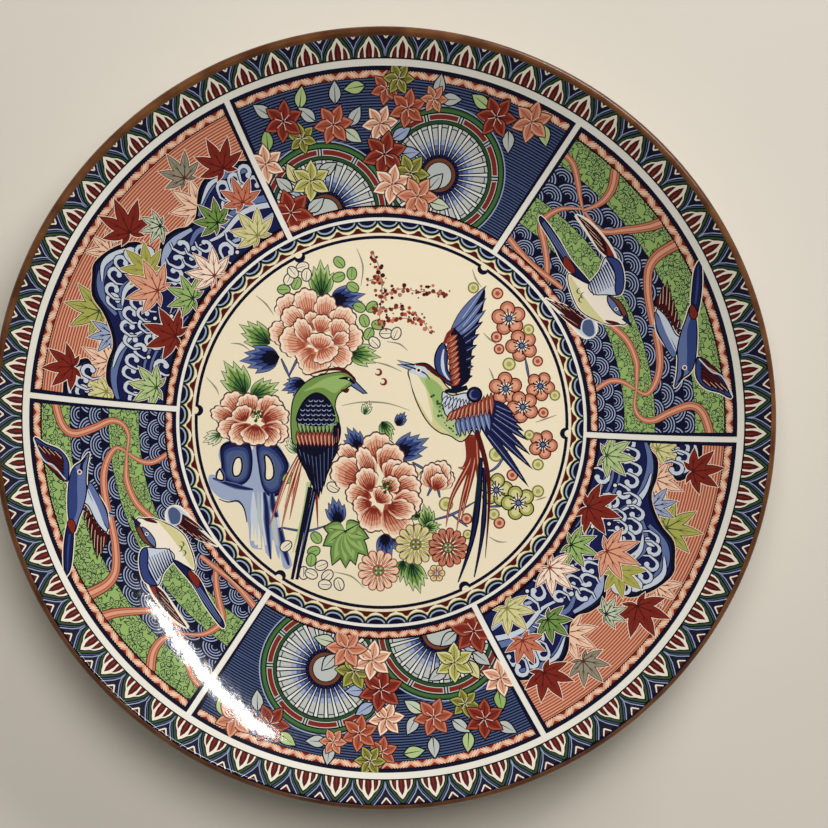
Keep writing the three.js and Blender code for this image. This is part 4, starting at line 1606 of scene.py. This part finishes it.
def foot_profile(angle):
    """The ring the plate stands on, its lower edges worn round."""
    uneven = 0.06 * math.sin(math.radians(3 * angle + 40))
    worn = [(FOOT_EDGE * (1 - math.sin(t)), FOOT_EDGE * (1 - math.cos(t)))
            for t in (math.pi / 2 * i / 5 for i in range(6))]
    low = [(FOOT_INNER + x, z) for x, z in reversed(worn)]
    high = [(FOOT_OUTER - x, z) for x, z in worn]
    seat = UNDERSIDE + 0.15
    return low + high + [(FOOT_OUTER + FOOT_TAPER + uneven, seat),
                         (FOOT_INNER - FOOT_TAPER + uneven, seat)]


def band_edge(angle):
    """How far past the wall's end the hand-brushed brown begins. It is widest at the top."""
    swing = math.radians(angle)
    top = 0.5 + 0.5 * math.cos(swing - math.radians(98))
    waves = ((0.16, 7, 1), (0.12, 17, 0), (0.08, 41, 0))
    wobble = sum(size * math.sin(turns * swing + shift) for size, turns, shift in waves)
    return 1.35 - 2.7 * top ** 1.6 + wobble


def band_profile(angle):
    """The brown band's outer face over the lip, then its inner face back."""
    start = band_edge(angle)
    end = LIP_TRAVEL - 0.5 + 0.3 * math.sin(math.radians(5 * angle))
    outer = [round_lip(travel, -0.05) for travel in course(start, end, 12)[1:]]
    inner = [round_lip(travel, 0.3) for travel in course(end, start, 12) + [start]]
    return [round_lip(start, 0.06)] + outer + [round_lip(end, 0.06)] + inner


def tinted(name, tints, cloud, rough, ripple, bump):
    """A surface whose colour drifts between two tints, in clouds of a noise's scale and detail."""
    material, shader = new_material(name)
    nodes, links = material.node_tree.nodes, material.node_tree.links
    ramp = nodes.new("ShaderNodeValToRGB")
    for element, position, tint in zip(ramp.color_ramp.elements, (0.35, 0.65), tints):
        element.position, element.color = position, linear(tint)
    links.new(add_noise(material, *cloud).outputs["Fac"], ramp.inputs["Fac"])
    links.new(ramp.outputs["Color"], shader.inputs["Base Color"])
    shader.inputs["Roughness"].default_value = rough
    shader.inputs["IOR"].default_value = GLAZE_IOR
    add_bump(material, shader, add_noise(material, ripple, RIPPLE_DETAIL), *bump)
    return material


white_glaze = tinted("white_glaze", ("efeee6", "e5e3d8"), (18.0, 2.0), GLAZE_ROUGHNESS, 220.0,
                     (0.1, 0.0004))
brown_glaze = tinted("brown_glaze", ("4e2a12", "704726"), (90.0, 4.0), 0.24, 400.0, (0.2, 0.0004))
bare_clay = tinted("bare_clay", ("c9bba4", "b8a88f"), (160.0, 6.0), 0.8, 900.0, (0.5, 0.0006))

link("porcelain_body", revolve("porcelain_body", body_profile, [white_glaze]), "porcelain_body")
foot_mesh = revolve("foot_ring", foot_profile, [bare_clay, white_glaze])
for face in foot_mesh.polygons:
    face.material_index = 1 if face.center.z > FOOT_GLAZE * MM else 0
link("foot_ring", foot_mesh, "foot_ring")
link("rim_band", revolve("rim_band", band_profile, [brown_glaze], BAND_STEPS), "rim_band")

# --- Decoration on the plate ------------------------------------------------------------------
# The two grids of points let the top and the underside of a solid follow the curved surface
border = lay(draw_border(), "navy", [circle_loop(BORDER_OUTER), circle_loop(BORDER_INNER)],
             polar_grid(141.6, 150.2, 2.6), polar_grid(142.0, 150.0, 4.0))
enamel_piece(border, "lotus_border")

band = lay(draw_band(), "cream", [circle_loop(BAND_EDGE), circle_loop(MEDALLION_EDGE)],
           polar_grid(75.0, 79.6, 2.4), polar_grid(75.4, 79.2, 3.4))
enamel_piece(band, "scallop_band")

medallion = lay(draw_medallion(), "cream", [circle_loop(MEDALLION_EDGE - MEDALLION_GAP)],
                polar_grid(3.0, 73.0, 4.0), polar_grid(6.0, 73.0, 6.0))
enamel_piece(medallion, "centre_medallion")

PANELS = (("birds", draw_birds, "leaf"), ("wheels", draw_wheels, "navy"),
          ("maples", draw_maples, "peach"))
for number, (design, draw_panel, ground) in enumerate(PANELS):
    first, last = (PANEL_START + PANEL_SPREAD * k for k in (number, number + 1))
    drawing = Drawing(polar_place(PANEL_SCALE, last))
    draw_panel(Pen(drawing, mark=at))
    outline = sector_loop(PANEL_INNER, PANEL_OUTER, first, last, DIVIDER_WIDTH / 2)
    solid = lay(drawing, ground, [outline], polar_grid(82.5, 137.4, 2.8, first + 1.5, last - 1.5),
                polar_grid(84.0, 136.0, 5.0, first + 2, last - 2))
    for copy in (1, 2):
        enamel_piece(solid, f"{design}_panel_{copy}", half_turn=copy == 2)

# --- Room, light and camera -------------------------------------------------------------------
FLOOR_HALF = 3.0
LAMP_AIM = Vector((0.0, 0.0, 0.02))
SKY = ((0.1, 0.42), (0.3, 0.12))           # how bright the room is at two heights of view

scene = bpy.context.scene
floor_mesh = bpy.data.meshes.new("floor")
floor_mesh.from_pydata([(x * FLOOR_HALF, y * FLOOR_HALF, 0.0) for x, y in
                        ((-1, -1), (1, -1), (1, 1), (-1, 1))], [], [(0, 1, 2, 3)])
floor_mesh.materials.append(tinted("floor_paper", ("d6d1c8", "cfcac0"), (3.0, 2.0), 0.9, 200.0,
                                   (0.05, 0.001)))
floor = bpy.data.objects.new("floor", floor_mesh)
scene.collection.objects.link(floor)

world = bpy.data.worlds.new("studio")
scene.world = world
world.use_nodes = True
world_nodes, world_links = world.node_tree.nodes, world.node_tree.links
heading = world_nodes.new("ShaderNodeTexCoord")
height = world_nodes.new("ShaderNodeSeparateXYZ")
fade = world_nodes.new("ShaderNodeValToRGB")
for element, (position, light) in zip(fade.color_ramp.elements, SKY):
    element.position, element.color = position, (light, 0.97 * light, 0.93 * light, 1.0)
world_links.new(heading.outputs["Generated"], height.inputs["Vector"])
world_links.new(height.outputs["Z"], fade.inputs["Fac"])
world_links.new(fade.outputs["Color"], world_nodes["Background"].inputs["Color"])


def softbox(name, place, along, length, width, watts, colour, glossy=True):
    """A rectangular lamp facing the plate, its long side along a direction."""
    data = bpy.data.lights.new(name, "AREA")
    data.shape = "RECTANGLE"
    data.size, data.size_y = length, width
    data.energy = watts
    data.color = colour
    lamp = bpy.data.objects.new(name, data)
    away = (Vector(place) - LAMP_AIM).normalized()
    side = away.cross(Vector(along)).normalized()
    facing = Matrix((side.cross(away), side, away)).transposed()
    lamp.matrix_world = Matrix.Translation(place) @ facing.to_4x4()
    lamp.visible_glossy = glossy
    scene.collection.objects.link(lamp)


softbox("key", (0.695, 1.04, 0.85), (-0.44, 0.73, -0.515), 0.8, 0.1, 10.0, (1.0, 0.97, 0.93))
softbox("top", (0.1, 0.5, 2.2), (1, 0, 0), 1.2, 1.2, 33.0, (1.0, 0.965, 0.92), glossy=False)

CAMERA_DISTANCE = 1.5
CAMERA_LOW = 4.34              # degrees off the plate's axis, towards its lower edge
CAMERA_LEFT = 2.78             # and towards its left
CAMERA_TIP = 3.11              # how far the lens itself is tipped; the rest is taken up by shift
CAMERA_SHIFT = (0.0338, 0.102)
AIM = Vector((0.0, 0.0, 0.0425))
FRAME_WIDTH = 0.3214           # what the picture spans at the aim point, in metres
SENSOR_WIDTH = 36.0


def leaning(left, low):
    """A direction that leans off the plate's axis by these degrees."""
    return Vector((-math.tan(math.radians(left)), -math.tan(math.radians(low)), 1.0)).normalized()


lens = bpy.data.cameras.new("camera")
camera = bpy.data.objects.new("camera", lens)
scene.collection.objects.link(camera)
scene.camera = camera
camera.location = AIM + leaning(CAMERA_LEFT, CAMERA_LOW) * CAMERA_DISTANCE
back = leaning(CAMERA_LEFT, CAMERA_TIP)
across = Vector((0.0, 1.0, 0.0)).cross(back).normalized()
camera.rotation_euler = Matrix((across, back.cross(across), back)).transposed().to_euler()
lens.sensor_width = SENSOR_WIDTH
lens.lens = SENSOR_WIDTH * CAMERA_DISTANCE / FRAME_WIDTH
lens.shift_x, lens.shift_y = CAMERA_SHIFT
scene.view_settings.view_transform = "Standard"
